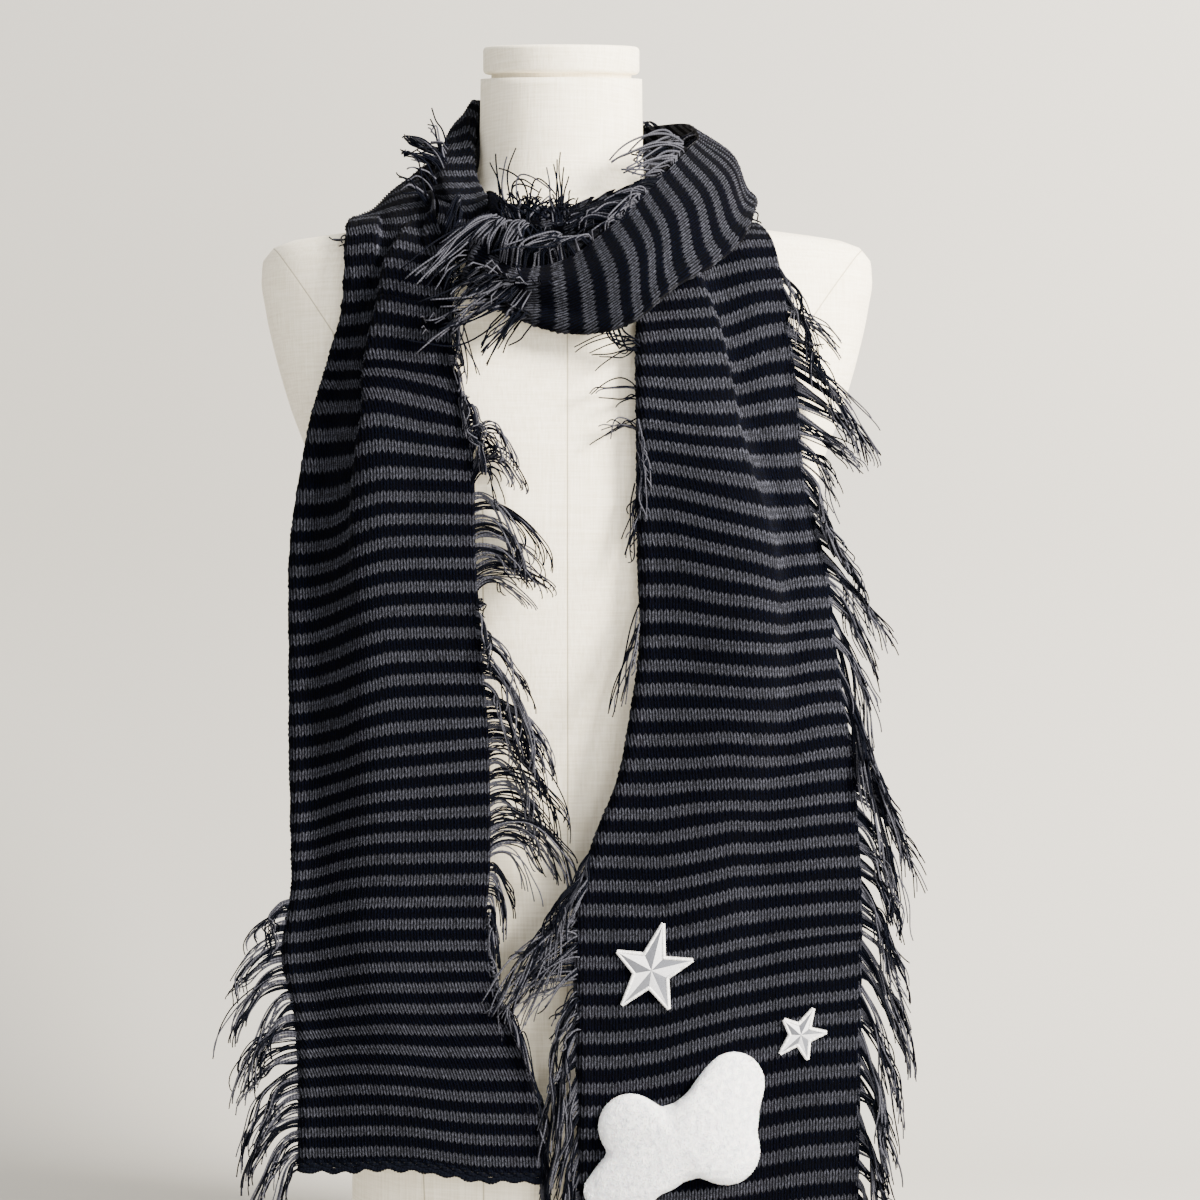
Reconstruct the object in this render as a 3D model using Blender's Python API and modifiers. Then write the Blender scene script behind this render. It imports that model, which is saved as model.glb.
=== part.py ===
"""Knit scarf wound once round the neck of a limbless dress form.

Metres, +Z up, -Y to the front; the origin is the centre of the form's flat base.
Tables and sizes below are in millimetres and are scaled when a mesh is made.
The scarf is one strip with two long edges. The hidden edge is folded back behind the front panels
and lies next to the neck in the turns; the free edge shows, with its fringe, all the way.
The strip is drawn as two ribbons: up the right panel and round the neck, then round the neck once
more over that and down the left panel. Their ends meet out of sight, behind the loop in front.
"""

import bisect
import math

import bpy
import bmesh
from mathutils import Vector
from mathutils.bvhtree import BVHTree

MM = 0.001
UP = Vector((0.0, 0.0, 1.0))
RIGHT = Vector((1.0, 0.0, 0.0))
LEFT = Vector((-1.0, 0.0, 0.0))
BACK = Vector((0.0, 1.0, 0.0))
COLLECTION = "knit_scarf_on_dress_form"

# Cloth
CLOTH_THICKNESS = 3.0
SEAM_GAP = 0.6               # between two stretches of the one strip
ROW_STEP = 25.0              # facet length along the scarf
FORM_CLEARANCE = 2.8         # middle of the cloth to the form
LAYER_CLEARANCE = 5.0        # middle of a layer to the middle of the layer under it
FOLD_DEPTH = 5.6             # between the middles of the two layers where the edge curls back
CURL_TAIL = 4.0              # cloth past the bend where the edge only curls
CURL_START = 9.0             # flat cloth before the bend
CREASE_HALF = 6.5            # half the width of the step at a panel's long crease
PANEL_SWELL = 1.5            # of a panel between its crease and its free edge
DOUBLED = (0.19, 0.46)       # share of the width that lies over the folded-back edge
STRING_SHARE = 0.6           # share of the width whose line the sections are strung along
SETTLE_TURNS = 4             # times the facets are moved off what carries them
BESIDE = 1.0                 # a point this far past an open layer's rim isn't carried by it
BEHIND = 20.0                # nor is one this far behind it

# Shares of the width at the points of each kind of section, and the facets' steps up to each share
CURL_SHARES = (0.0, 0.08, 0.16, 0.20, 0.24, 0.30)
PANEL_SHARES = CURL_SHARES + (0.50, 0.58, 0.8, 1.0)
ARCH_SHARES = CURL_SHARES + (0.58, 1.0)
LAP_SHARES = CURL_SHARES + (0.66, 1.0)
FACET_STEPS = ((0.16, 2), (0.2, 1), (0.24, 1), (0.5, 3), (0.58, 1), (1.0, 4))
FOLD_FACET = 3               # the outermost point of the curled edge among those facets

# Fringe
LOCK_PITCH = 12.0
STRIP_GAP = 0.7
STRIP_WIDTH = 2.6
STRIP_THICKNESS = 2.4
LOCK_WIDTHS = (2.8, 1.7)
LOCK_THICKNESSES = (1.4, 1.1)
# Points along a lock: shares of its reach, fall, arch and lift
LOCK_COURSE = ((0.38, 0.12, 1.0, 0.3), (0.82, 0.52, 0.5, 0.65), (1.0, 1.0, 0.0, 1.0))
LOCK_START = 2.0             # how far the first of them stands straight out as well
FRONT_BIAS = 60.0            # turns the outward side of an edge beside the neck to the front
FLOOR_CLEARANCE = 4.0        # lowest end of a lock to the surface the form stands on
LOCK_CLEARANCE = 3.0         # middle of a lock to the form

# Dress form
NECK_AXIS_X = -4.0
NECK_TILT = math.radians(9.0)
NECK_TILT_START = 752.0
NECK_TOP = 834.5
NECK_TILT_RISE = 84.0        # height over which the rings take up the tilt
NECK_START = 718.0
NECK_BLEND = 52.0            # height over which the rings move across to the neck's axis
FORM_SEGMENTS = 34
RING_STEP = 44.0             # two rings further apart than this have one between them
CAP_SEGMENTS = 28
CAP_RADIUS = 54.6
CAP_HEIGHT = 19.0
CAP_RECESS_RADIUS = 49.0
CAP_RECESS = 3.0
CAP_ROUNDING = 3.0
CAP_GAP = 0.3

# Patches on the right panel
IN_FRONT = 400.0             # clear in front of everything
PATCH_GAP = 0.7
STAR_EDGE = 0.9
STAR_HEIGHT = 2.4
STAR_INNER_RADIUS = 0.40     # share of the tips' mean length
LARGE_STAR_CENTRE = (57.0, 227.0)
LARGE_STAR_TIPS = ((14.0, 31.7), (76.0, 27.8), (156.0, 27.8), (220.0, 30.0), (298.0, 25.5))
SMALL_STAR_CENTRE = (155.0, 184.0)
SMALL_STAR_TIPS = ((26.0, 18.9), (86.0, 16.8), (165.0, 16.9), (227.0, 18.3), (312.0, 14.6))
BONE_CENTRE = (73.5, 116.5)
# Round lumps of the bone: x and z from its centre, radius
BONE_LUMPS = (
    (-30.0, 7.5, 22.0),
    (-39.0, -35.0, 22.0),
    (36.5, 35.5, 22.0),
    (32.5, -6.5, 22.5),
    (-15.0, -11.0, 25.5),
    (1.5, -2.5, 25.5),
    (18.0, 6.0, 25.5),
)
BONE_SEGMENTS = 36
BONE_CROWN = 0.5             # rise of the middle above the last ring
# Rings of the bone from the middle of its underside over its rim: share of the outline, height
BONE_RINGS = ((0.33, 0.0), (0.66, 0.0), (0.96, 0.0), (1.0, 4.0), (0.94, 9.0), (0.76, 12.8), (0.42, 14.5))

# The form's rings: height, half width, depth in front, depth behind, squareness
TORSO_RINGS = (
    (0.0, 149.0, 97.0, 96.0, 2.2),
    (60.0, 150.0, 99.0, 100.0, 2.2),
    (140.0, 148.0, 98.0, 98.0, 2.2),
    (220.0, 141.0, 93.0, 86.0, 2.2),
    (300.0, 135.0, 90.0, 76.0, 2.2),
    (380.0, 142.0, 95.0, 78.0, 2.2),
    (450.0, 156.0, 106.0, 86.0, 2.3),
    (520.0, 169.0, 115.0, 95.0, 2.35),
    (565.0, 178.0, 114.0, 99.0, 2.4),
    (603.0, 192.0, 109.0, 100.0, 2.4),
    (640.0, 203.0, 102.0, 97.0, 2.4),
    (672.0, 210.0, 95.0, 90.0, 2.4),
    (696.0, 212.5, 88.0, 80.0, 2.4),
    (710.0, 208.0, 83.0, 72.0, 2.35),
    (718.0, 194.0, 79.0, 67.0, 2.3),
    (723.0, 160.0, 76.0, 64.0, 2.2),
    (727.0, 128.0, 73.5, 62.0, 2.15),
    (733.0, 98.0, 70.0, 60.5, 2.1),
    (741.0, 78.0, 65.0, 59.0, 2.05),
    (753.0, 65.0, 60.5, 58.0, 2.0),
    (770.0, 58.5, 58.0, 57.5, 2.0),
    (800.0, 57.0, 57.0, 57.0, 2.0),
    (NECK_TOP, 56.5, 56.5, 56.5, 2.0),
)

# Front panels, a row for each section. Height; x of the hidden edge's fold, of the crease and of
# the free edge; y at the fold, before and after the crease and at the free edge; drop at the fold
# and at the free edge; width of edge folded back
RIGHT_PANEL = (
    (28.0, 9.0, 115.0, 193.0, -118.0, -118.0, -116.0, -112.0, 0.0, -8.0, 4.0),
    (75.0, 9.0, 115.0, 194.0, -118.0, -119.0, -117.0, -113.0, 0.0, -10.0, 4.0),
    (126.0, 9.0, 115.0, 195.0, -119.0, -120.0, -118.0, -113.0, 1.0, -11.0, 4.0),
    (205.0, 7.0, 115.0, 196.0, -120.0, -120.0, -118.0, -113.0, 3.0, -12.0, 4.0),
    (272.0, 8.0, 115.0, 196.0, -120.0, -121.0, -118.0, -112.0, 2.0, -12.0, 4.0),
    (311.0, 19.0, 118.0, 194.0, -121.0, -121.0, -118.0, -110.0, 1.0, -9.0, 6.0),
    (351.0, 35.0, 128.0, 192.0, -121.0, -121.0, -117.0, -107.0, 0.0, -7.0, 12.0),
    (391.0, 43.0, 138.0, 186.0, -121.0, -121.0, -115.0, -104.0, 0.0, -5.0, 20.0),
    (444.0, 50.0, 142.0, 179.0, -121.0, -120.0, -111.0, -100.0, -2.0, -3.0, 20.0),
    (483.0, 49.0, 141.0, 176.0, -123.0, -119.0, -107.0, -96.0, -6.0, 2.0, 20.0),
    (523.0, 48.0, 136.0, 168.0, -125.0, -118.0, -103.0, -92.0, -7.0, 5.0, 20.0),
    (563.0, 48.0, 124.0, 159.0, -125.0, -115.0, -101.0, -89.0, -6.0, 5.0, 13.0),
    (602.0, 48.0, 110.0, 156.0, -121.0, -110.0, -99.0, -86.0, -2.0, 0.0, 13.0),
    (642.0, 48.0, 102.0, 151.0, -112.0, -105.0, -96.0, -84.0, 2.0, -3.0, 13.0),
    (675.0, 50.0, 95.0, 146.0, -102.0, -98.0, -91.0, -81.0, 4.0, -8.0, 6.0),
    (704.0, 53.0, 93.0, 140.0, -91.0, -89.0, -85.0, -76.0, 3.0, -6.0, 6.0),
)
LEFT_PANEL = (
    (706.0, -146.0, -118.0, -79.0, -74.0, -78.0, -86.0, -86.0, 3.0, 6.0, 10.0),
    (669.0, -149.0, -126.0, -75.0, -86.0, -90.0, -99.0, -101.0, 5.0, 5.0, 14.0),
    (629.0, -161.0, -134.0, -73.0, -86.0, -95.0, -104.0, -109.0, 5.0, 6.0, 20.0),
    (603.0, -169.0, -135.0, -64.0, -86.0, -98.0, -107.0, -114.0, 5.0, 8.0, 30.0),
    (563.0, -177.0, -138.0, -60.0, -87.0, -101.0, -112.0, -117.0, 6.0, 4.0, 30.0),
    (510.0, -184.0, -141.0, -59.0, -90.0, -105.0, -116.0, -120.0, 8.0, 0.0, 30.0),
    (457.0, -184.0, -141.0, -56.0, -94.0, -109.0, -119.0, -121.0, 14.0, 0.0, 30.0),
    (377.0, -183.0, -141.0, -50.0, -99.0, -112.0, -120.0, -121.0, 15.0, -1.0, 30.0),
    (334.0, -182.0, -140.0, -49.0, -102.0, -113.0, -120.0, -121.0, 13.0, -1.0, 14.0),
    (296.0, -181.0, -140.0, -49.0, -106.0, -115.0, -120.0, -121.0, 12.0, -1.0, 6.0),
    (244.0, -187.0, -140.0, -51.0, -109.0, -116.0, -121.0, -121.0, 11.0, 0.0, 4.0),
    (205.0, -179.0, -135.0, -43.0, -110.0, -117.0, -121.0, -121.0, 9.0, 1.0, 4.0),
    (158.0, -176.0, -128.0, -22.0, -112.0, -118.0, -121.0, -120.0, 5.0, 5.0, 4.0),
    (95.0, -176.0, -115.0, -15.0, -113.0, -119.0, -120.0, -119.0, 1.0, 5.0, 4.0),
)

# Round the neck under the loop: the hidden edge, the middle and the free edge (x, y, z each)
INNER_TURN = (
    (60.0, -62.0, 734.0, 98.0, -60.0, 728.0, 133.0, -57.0, 723.0),
    (68.0, -20.0, 756.0, 98.0, -18.0, 740.0, 128.0, -16.0, 730.0),
    (64.0, 20.0, 778.0, 88.0, 24.0, 757.0, 112.0, 28.0, 738.0),
    (52.0, 42.0, 797.0, 68.0, 52.0, 770.0, 80.0, 59.0, 747.0),
    (29.0, 61.0, 806.0, 38.0, 74.0, 778.0, 43.0, 80.0, 751.0),
    (-4.0, 66.0, 811.0, -4.0, 81.0, 782.0, -4.0, 88.0, 754.0),
    (-34.0, 58.0, 817.0, -44.0, 73.0, 786.0, -50.0, 80.0, 758.0),
    (-58.0, 36.0, 824.0, -72.0, 46.0, 796.0, -79.0, 52.0, 768.0),
    (-64.0, 12.0, 821.0, -77.0, 10.0, 806.0, -84.0, 26.0, 788.0),
    (-63.0, -18.0, 791.0, -81.0, -18.0, 787.0, -87.0, 6.0, 779.0),
    (-61.0, -34.0, 764.0, -83.0, -42.0, 763.0, -92.0, -12.0, 763.0),
    (-53.0, -54.0, 745.0, -76.0, -64.0, 743.0, -90.0, -44.0, 747.0),
    (-46.0, -68.0, 732.0, -62.0, -77.0, 728.0, -80.0, -72.0, 732.0),
    (-42.0, -80.0, 714.0, -58.0, -86.0, 711.0, -74.0, -83.0, 713.0),
    (-40.0, -87.0, 698.0, -55.0, -91.0, 696.0, -70.0, -89.0, 697.0),
)
# Round the neck outside: the lower fold (x, y, z), the free edge along the ridge (x, y, z), swell
# of the front flap, and how far up and how far in behind the fold the hidden edge lies
FRONT_LOOP = (
    (-71.0, -105.0, 684.0, -60.0, -110.0, 706.0, 2.0, 36.0, 9.0),
    (-42.0, -115.0, 662.0, -24.0, -115.0, 690.0, 6.0, 64.0, 26.0),
    (-3.0, -122.0, 647.0, 7.0, -116.0, 698.0, 8.0, 82.0, 34.0),
    (26.0, -127.0, 647.0, 25.0, -115.0, 712.0, 9.0, 94.0, 38.0),
    (48.0, -129.0, 655.0, 42.0, -109.0, 727.0, 9.0, 94.0, 34.0),
    (70.0, -124.0, 675.0, 57.0, -97.0, 744.0, 8.0, 84.0, 22.0),
    (98.0, -110.0, 693.0, 72.0, -80.0, 762.0, 8.0, 66.0, 13.0),
    (121.0, -89.0, 714.0, 85.0, -50.0, 779.0, 8.0, 50.0, 8.0),
    (131.0, -38.0, 741.0, 91.0, -14.0, 792.0, 8.0, 40.0, 7.0),
    (131.0, 8.0, 747.0, 84.0, 32.0, 808.0, 8.0, 36.0, 7.0),
)
OUTER_TURN = (
    (113.0, 54.0, 744.0, 66.0, 66.0, 813.0, 8.0, 34.0, 7.5),
    (70.0, 94.0, 740.0, 36.0, 90.0, 813.0, 8.0, 32.0, 7.5),
    (14.0, 113.0, 737.0, -6.0, 100.0, 811.0, 8.0, 32.0, 7.5),
    (-46.0, 110.0, 734.0, -44.0, 92.0, 804.0, 7.0, 32.0, 7.5),
    (-96.0, 84.0, 731.0, -78.0, 70.0, 793.0, 6.0, 28.0, 7.0),
    (-128.0, 46.0, 731.0, -101.0, 40.0, 780.0, 5.0, 24.0, 6.6),
    (-141.0, 6.0, 733.0, -105.0, 8.0, 768.0, 4.0, 20.0, 6.4),
    (-147.0, -34.0, 731.0, -97.0, -36.0, 752.0, 3.0, 18.0, 6.4),
)

# Fringe, a row for each cluster going down or round its edge: its length; rise of the arch; reach
# and fall of its first lock and of its last one; how far in front of the edge the tips hang
FRINGE_LEFT_INNER = (
    (36.0, 0.0, 9.0, 30.0, 9.0, 28.0, 9.0),
    (30.0, 4.0, 10.0, 18.0, 10.0, 14.0, 9.0),
    (34.0, 16.0, 40.0, 14.0, 24.0, 4.0, 9.0),
    (40.0, 4.0, 45.0, 44.0, 38.0, 20.0, 9.0),
    (30.0, 8.0, 48.0, 16.0, 42.0, 8.0, 9.0),
    (22.0, 0.0, 12.0, 26.0, 14.0, 30.0, 9.0),
    (44.0, 0.0, 28.0, 56.0, 30.0, 46.0, 9.0),
    (36.0, 3.0, 38.0, 42.0, 34.0, 30.0, 5.0),
    (40.0, 8.0, 46.0, 40.0, 38.0, 24.0, -5.0),
    (34.0, 10.0, 50.0, 34.0, 40.0, 18.0, -9.0),
    (44.0, 8.0, 46.0, 58.0, 30.0, 40.0, -9.0),
    (40.0, 0.0, 20.0, 40.0, 22.0, 38.0, -9.0),
    (54.0, 0.0, 24.0, 42.0, 16.0, 44.0, -9.0),
    (70.0, 0.0, 10.0, 44.0, 8.0, 42.0, -9.0),
)
FRINGE_RIGHT_OUTER = (
    (42.0, 0.0, 34.0, 46.0, 24.0, 44.0, 10.0),
    (44.0, 0.0, 26.0, 44.0, 30.0, 44.0, 12.0),
    (36.0, 0.0, 44.0, 52.0, 44.0, 40.0, 6.0),
    (34.0, 0.0, 38.0, 34.0, 22.0, 34.0, 8.0),
    (36.0, 0.0, 14.0, 40.0, 16.0, 46.0, 13.0),
    (44.0, 0.0, 30.0, 54.0, 34.0, 42.0, 6.0),
    (42.0, 0.0, 28.0, 50.0, 26.0, 50.0, 9.0),
    (40.0, 0.0, 25.0, 54.0, 24.0, 54.0, 10.0),
    (40.0, 0.0, 26.0, 58.0, 30.0, 56.0, 12.0),
    (44.0, 0.0, 40.0, 54.0, 38.0, 40.0, 5.0),
    (40.0, 2.0, 38.0, 34.0, 30.0, 28.0, 8.0),
    (40.0, 0.0, 30.0, 34.0, 32.0, 40.0, 9.0),
    (40.0, 0.0, 34.0, 44.0, 34.0, 36.0, 9.0),
    (40.0, 0.0, 30.0, 44.0, 22.0, 52.0, 10.0),
    (60.0, 0.0, 20.0, 54.0, 22.0, 46.0, 10.0),
    (60.0, 0.0, 24.0, 44.0, 26.0, 24.0, 9.0),
)
FRINGE_RIGHT_INNER = (
    (40.0, 0.0, 26.0, 62.0, 38.0, 56.0, 9.0),
    (60.0, 0.0, 36.0, 50.0, 22.0, 48.0, 9.0),
    (60.0, 0.0, 18.0, 50.0, 14.0, 50.0, 9.0),
    (60.0, 0.0, 14.0, 50.0, 14.0, 46.0, 9.0),
    (60.0, 0.0, 14.0, 44.0, 18.0, 22.0, 8.0),
)
FRINGE_LEFT_OUTER = (
    (50.0, 0.0, 26.0, 22.0, 30.0, 34.0, 7.0),
    (50.0, 2.0, 40.0, 48.0, 34.0, 46.0, 8.0),
    (55.0, 0.0, 34.0, 44.0, 30.0, 46.0, 8.0),
    (60.0, 0.0, 28.0, 48.0, 18.0, 44.0, 8.0),
)
FRINGE_RIDGE = (
    (80.0, 4.0, 44.0, 26.0, 44.0, 20.0, 6.0),
    (120.0, 4.0, 46.0, 24.0, 46.0, 8.0, 8.0),
)
FRINGE_COLLAR = (
    (44.0, 0.0, 23.0, -8.0, 18.0, -2.0, 3.0),
)
FRINGE_BACK = (
    (176.0, 8.0, 26.0, 18.0, 26.0, 18.0, 3.0),
)


def clear_scene():
    for item in list(bpy.data.objects):
        bpy.data.objects.remove(item, do_unlink=True)


def part_collection():
    collection = bpy.data.collections.new(COLLECTION)
    bpy.context.scene.collection.children.link(collection)
    return collection


def material(name, colour, roughness):
    finish = bpy.data.materials.new(name)
    finish.use_nodes = True
    shader = finish.node_tree.nodes["Principled BSDF"]
    shader.inputs["Base Color"].default_value = (*colour, 1.0)
    shader.inputs["Roughness"].default_value = roughness
    shader.inputs["Metallic"].default_value = 0.0
    return finish


def face_outwards(bm):
    """Make every face agree with its neighbours and point out of the solid."""
    bmesh.ops.recalc_face_normals(bm, faces=bm.faces)
    if bm.calc_volume(signed=True) < 0.0:
        bmesh.ops.reverse_faces(bm, faces=bm.faces)


def add_object(name, bm, finish, collection):
    """Turn a bmesh in millimetres into a named object in metres."""
    bmesh.ops.scale(bm, vec=(MM, MM, MM), verts=bm.verts)
    mesh = bpy.data.meshes.new(name)
    bm.to_mesh(mesh)
    bm.free()
    mesh.shade_smooth()
    mesh.materials.append(finish)
    item = bpy.data.objects.new(name, mesh)
    collection.objects.link(item)
    return item


def smooth_point(points, knots, at):
    """The point at one place on a smooth curve through points that stand at uneven knots."""
    last = len(points) - 1
    i = min(max(bisect.bisect_right(knots, at) - 1, 0), last - 1)
    span = knots[i + 1] - knots[i]
    f = (at - knots[i]) / span
    chord = (points[i + 1] - points[i]) / span
    before = chord
    after = chord
    if i > 0:
        previous = (points[i] - points[i - 1]) / (knots[i] - knots[i - 1])
        share = span / (knots[i + 1] - knots[i - 1])
        before = chord * (1.0 - share) + previous * share
    if i + 2 <= last:
        following = (points[i + 2] - points[i + 1]) / (knots[i + 2] - knots[i + 1])
        share = span / (knots[i + 2] - knots[i])
        after = chord * (1.0 - share) + following * share
    a = points[i] * (1.0 - 3.0 * f * f + 2.0 * f ** 3)
    b = points[i + 1] * (3.0 * f * f - 2.0 * f ** 3)
    c = before * (span * (f - 2.0 * f * f + f ** 3))
    d = after * (span * (f ** 3 - f * f))
    return a + b + c + d


def running_length(points):
    lengths = [0.0]
    for first, second in zip(points, points[1:]):
        lengths.append(lengths[-1] + (second - first).length)
    return lengths


# The dress form

def torso_rows():
    """The table's rings, with one more where two lie far apart."""
    rows = [Vector(row) for row in TORSO_RINGS]
    heights = [row[0] for row in TORSO_RINGS]
    full = [rows[0]]
    for low, high in zip(rows, rows[1:]):
        if high[0] - low[0] > RING_STEP:
            full.append(smooth_point(rows, heights, (low[0] + high[0]) / 2.0))
        full.append(high)
    return full


def torso_ring(row):
    height, half_width, front, back, squareness = row
    middle = (back - front) / 2.0
    half_depth = (front + back) / 2.0
    on_neck = min(max((height - NECK_START) / NECK_BLEND, 0.0), 1.0)
    lean = math.tan(NECK_TILT) * min(max((height - NECK_TILT_START) / NECK_TILT_RISE, 0.0), 1.0)
    power = 2.0 / squareness
    ring = []
    for step in range(FORM_SEGMENTS):
        angle = 2.0 * math.pi * step / FORM_SEGMENTS
        c, s = math.cos(angle), math.sin(angle)
        x = NECK_AXIS_X * on_neck + half_width * math.copysign(abs(c) ** power, c)
        y = middle + half_depth * math.copysign(abs(s) ** power, s)
        ring.append(Vector((x, y, height + (y - middle) * lean)))
    return ring


def bridge(bm, lower, upper):
    """A band of faces between two closed loops, facing out when they run anticlockwise."""
    count = len(lower)
    for i in range(count):
        j = (i + 1) % count
        bm.faces.new((lower[i], lower[j], upper[j], upper[i]))


def torso_mesh():
    bm = bmesh.new()
    loops = [[bm.verts.new(point) for point in torso_ring(row)] for row in torso_rows()]
    for lower, upper in zip(loops, loops[1:]):
        bridge(bm, lower, upper)
    bm.faces.new(list(reversed(loops[0])))
    bm.faces.new(loops[-1])
    return bm


def neck_cap(finish, collection):
    """A turned lid on a narrower neck, tilted forward with the top of the form's neck."""
    top = CAP_GAP + CAP_RECESS + CAP_HEIGHT
    profile = [(0.0, top)]
    for low, centre in ((False, top - CAP_ROUNDING), (True, CAP_GAP + CAP_RECESS + CAP_ROUNDING)):
        for step in range(4):
            angle = math.radians(30.0 * step) + (math.radians(90.0) if low else 0.0)
            profile.append((CAP_RADIUS - CAP_ROUNDING + CAP_ROUNDING * math.sin(angle),
                            centre + CAP_ROUNDING * math.cos(angle)))
    profile += [(CAP_RECESS_RADIUS, CAP_GAP + CAP_RECESS), (CAP_RECESS_RADIUS, CAP_GAP), (0.0, CAP_GAP)]
    bm = bmesh.new()
    points = [bm.verts.new((radius, 0.0, height)) for radius, height in profile]
    for first, second in zip(points, points[1:]):
        bm.edges.new((first, second))
    cap = add_object("form_neck_cap", bm, finish, collection)
    cap.location = (NECK_AXIS_X * MM, 0.0, NECK_TOP * MM)
    cap.rotation_euler = (NECK_TILT, 0.0, 0.0)
    screw = cap.modifiers.new("turn", "SCREW")
    screw.axis = "Z"
    screw.steps = CAP_SEGMENTS
    screw.render_steps = CAP_SEGMENTS
    screw.use_merge_vertices = True
    screw.merge_threshold = 0.00001


# Sections of the cloth: each is a list of (share of the width from the hidden edge, point)

def curled_edge(edge, into, behind, tail):
    """The hidden edge from its end round the bend to where the front layer starts."""
    half = FOLD_DEPTH / 2.0
    back = edge + into * half + behind * FOLD_DEPTH
    return [back + into * tail, back + into * (tail / 2.0), back, edge + behind * half,
            edge + into * half, edge + into * (half + CURL_START)]


def panel_section(row):
    (height, fold, crease, free, depth, before, after, free_depth, drop, free_drop, tuck) = row
    into = RIGHT if free > fold else LEFT
    points = curled_edge(Vector((fold, depth, height)), into, BACK, tuck)
    first = crease - into.x * CREASE_HALF
    second = crease + into.x * CREASE_HALF
    points += [Vector((first, before, height)), Vector((second, after, height)),
               Vector(((second + free) / 2.0, (after + free_depth) / 2.0 - PANEL_SWELL, height)),
               Vector((free, free_depth, height))]
    for point in points:
        to_fold = min(max((point.x - crease) / (fold - crease), 0.0), 1.0)
        to_free = min(max((point.x - crease) / (free - crease), 0.0), 1.0)
        point.z -= drop * math.sin(to_fold * math.pi / 2.0) + free_drop * math.sin(to_free * math.pi / 2.0)
    return list(zip(PANEL_SHARES, points))


def arched_section(row, previous, following):
    hidden, middle, free = Vector(row[0:3]), Vector(row[3:6]), Vector(row[6:9])
    into = (middle - hidden).normalized()
    along = Vector(following[3:6]) - Vector(previous[3:6])
    behind = along.cross(into).normalized()
    return list(zip(ARCH_SHARES, curled_edge(hidden, into, behind, CURL_TAIL) + [middle, free]))


def lapped_section(row):
    """Cloth folded lengthwise: the hidden edge behind, the fold below, the front flap up to the free edge."""
    fold, ridge = Vector(row[0:3]), Vector(row[3:6])
    swell, up_behind, in_behind = row[6:9]
    rise = (ridge - fold).normalized()
    outward = Vector((fold.x - NECK_AXIS_X, fold.y, 0.0)).normalized()
    outward = (outward - rise * outward.dot(rise)).normalized()
    points = curled_edge(fold, rise, -outward, CURL_TAIL)
    points[0] = fold + rise * up_behind - outward * in_behind
    points[1] = (points[0] + points[2]) / 2.0 - outward
    return list(zip(LAP_SHARES, points + [fold * 0.45 + ridge * 0.55 + outward * swell, ridge]))


def across(section, share):
    """The point at a share of the width on the smooth curve through a section."""
    shares = [item[0] for item in section]
    points = [item[1] for item in section]
    lengths = running_length(points)
    i = min(max(bisect.bisect_right(shares, share) - 1, 0), len(shares) - 2)
    f = (share - shares[i]) / (shares[i + 1] - shares[i])
    return smooth_point(points, lengths, lengths[i] + f * (lengths[i + 1] - lengths[i]))


def with_neighbours(rows):
    """Each row with the one before it and the one after it."""
    return zip(rows, rows[:1] + rows[:-1], rows[1:] + rows[-1:])


class Ribbon:
    """Part of the wound scarf: named stretches of sections, strung along a line near their middle."""

    def __init__(self, stretches):
        self.sections = []
        self.starts = {}
        for name, sections in stretches:
            self.starts[name] = len(self.sections)
            self.sections += sections
        self.names = [name for name, sections in stretches]
        self.knots = running_length([across(section, STRING_SHARE) for section in self.sections])

    def span(self, name):
        """Where a stretch starts and ends along the scarf."""
        order = self.names.index(name)
        if order + 1 == len(self.names):
            return self.knots[self.starts[name]], self.knots[-1]
        return self.knots[self.starts[name]], self.knots[self.starts[self.names[order + 1]]]

    def point(self, along, share):
        i = min(max(bisect.bisect_right(self.knots, along) - 1, 0), len(self.knots) - 2)
        first = max(i - 1, 0)
        last = min(i + 3, len(self.knots))
        points = [across(section, share) for section in self.sections[first:last]]
        return smooth_point(points, self.knots[first:last], along)


def facet_shares():
    """Shares of the width for the facets' edges, the same all along the scarf."""
    shares = [0.0]
    for share, steps in FACET_STEPS:
        start = shares[-1]
        shares += [start + (share - start) * step / steps for step in range(1, steps + 1)]
    return shares


def keep_clear(point, carriers, extra=0.0):
    """Move a point off its carriers: (surface, clearance, whether the surface is a closed one)."""
    for tree, clearance, closed in carriers:
        nearest, normal, index, distance = tree.find_nearest(point)
        offset = point - nearest
        height = offset.dot(normal)
        beside = (offset - normal * height).length
        near = closed or (beside < BESIDE and height > -BEHIND) or distance < clearance
        if near and height < clearance + extra:
            point = point + normal * (clearance + extra - height)
    return point


def settled(grid, carriers):
    """The grid moved until the middles of its facets and of their sides are clear as well.

    The front layer over the curled edge keeps clear by the depth of the curl too.
    """
    rows, width = len(grid), len(grid[0])
    extras = [FOLD_DEPTH if DOUBLED[0] < share < DOUBLED[1] else 0.0 for share in facet_shares()]
    for turn in range(SETTLE_TURNS):
        moves = [[Vector() for c in range(width)] for r in range(rows)]
        for r in range(rows):
            for c in range(width):
                for i, j in ((r, c), (r, c + 1), (r + 1, c), (r + 1, c + 1), (r + 1, c - 1)):
                    if i < rows and 0 <= j < width:
                        middle = (grid[r][c] + grid[i][j]) / 2.0
                        move = keep_clear(middle, carriers, min(extras[c], extras[j])) - middle
                        moves[r][c] = max(moves[r][c], move, key=lambda v: v.length)
                        moves[i][j] = max(moves[i][j], move, key=lambda v: v.length)
        grid = [[grid[r][c] + moves[r][c] for c in range(width)] for r in range(rows)]
    return grid


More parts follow.
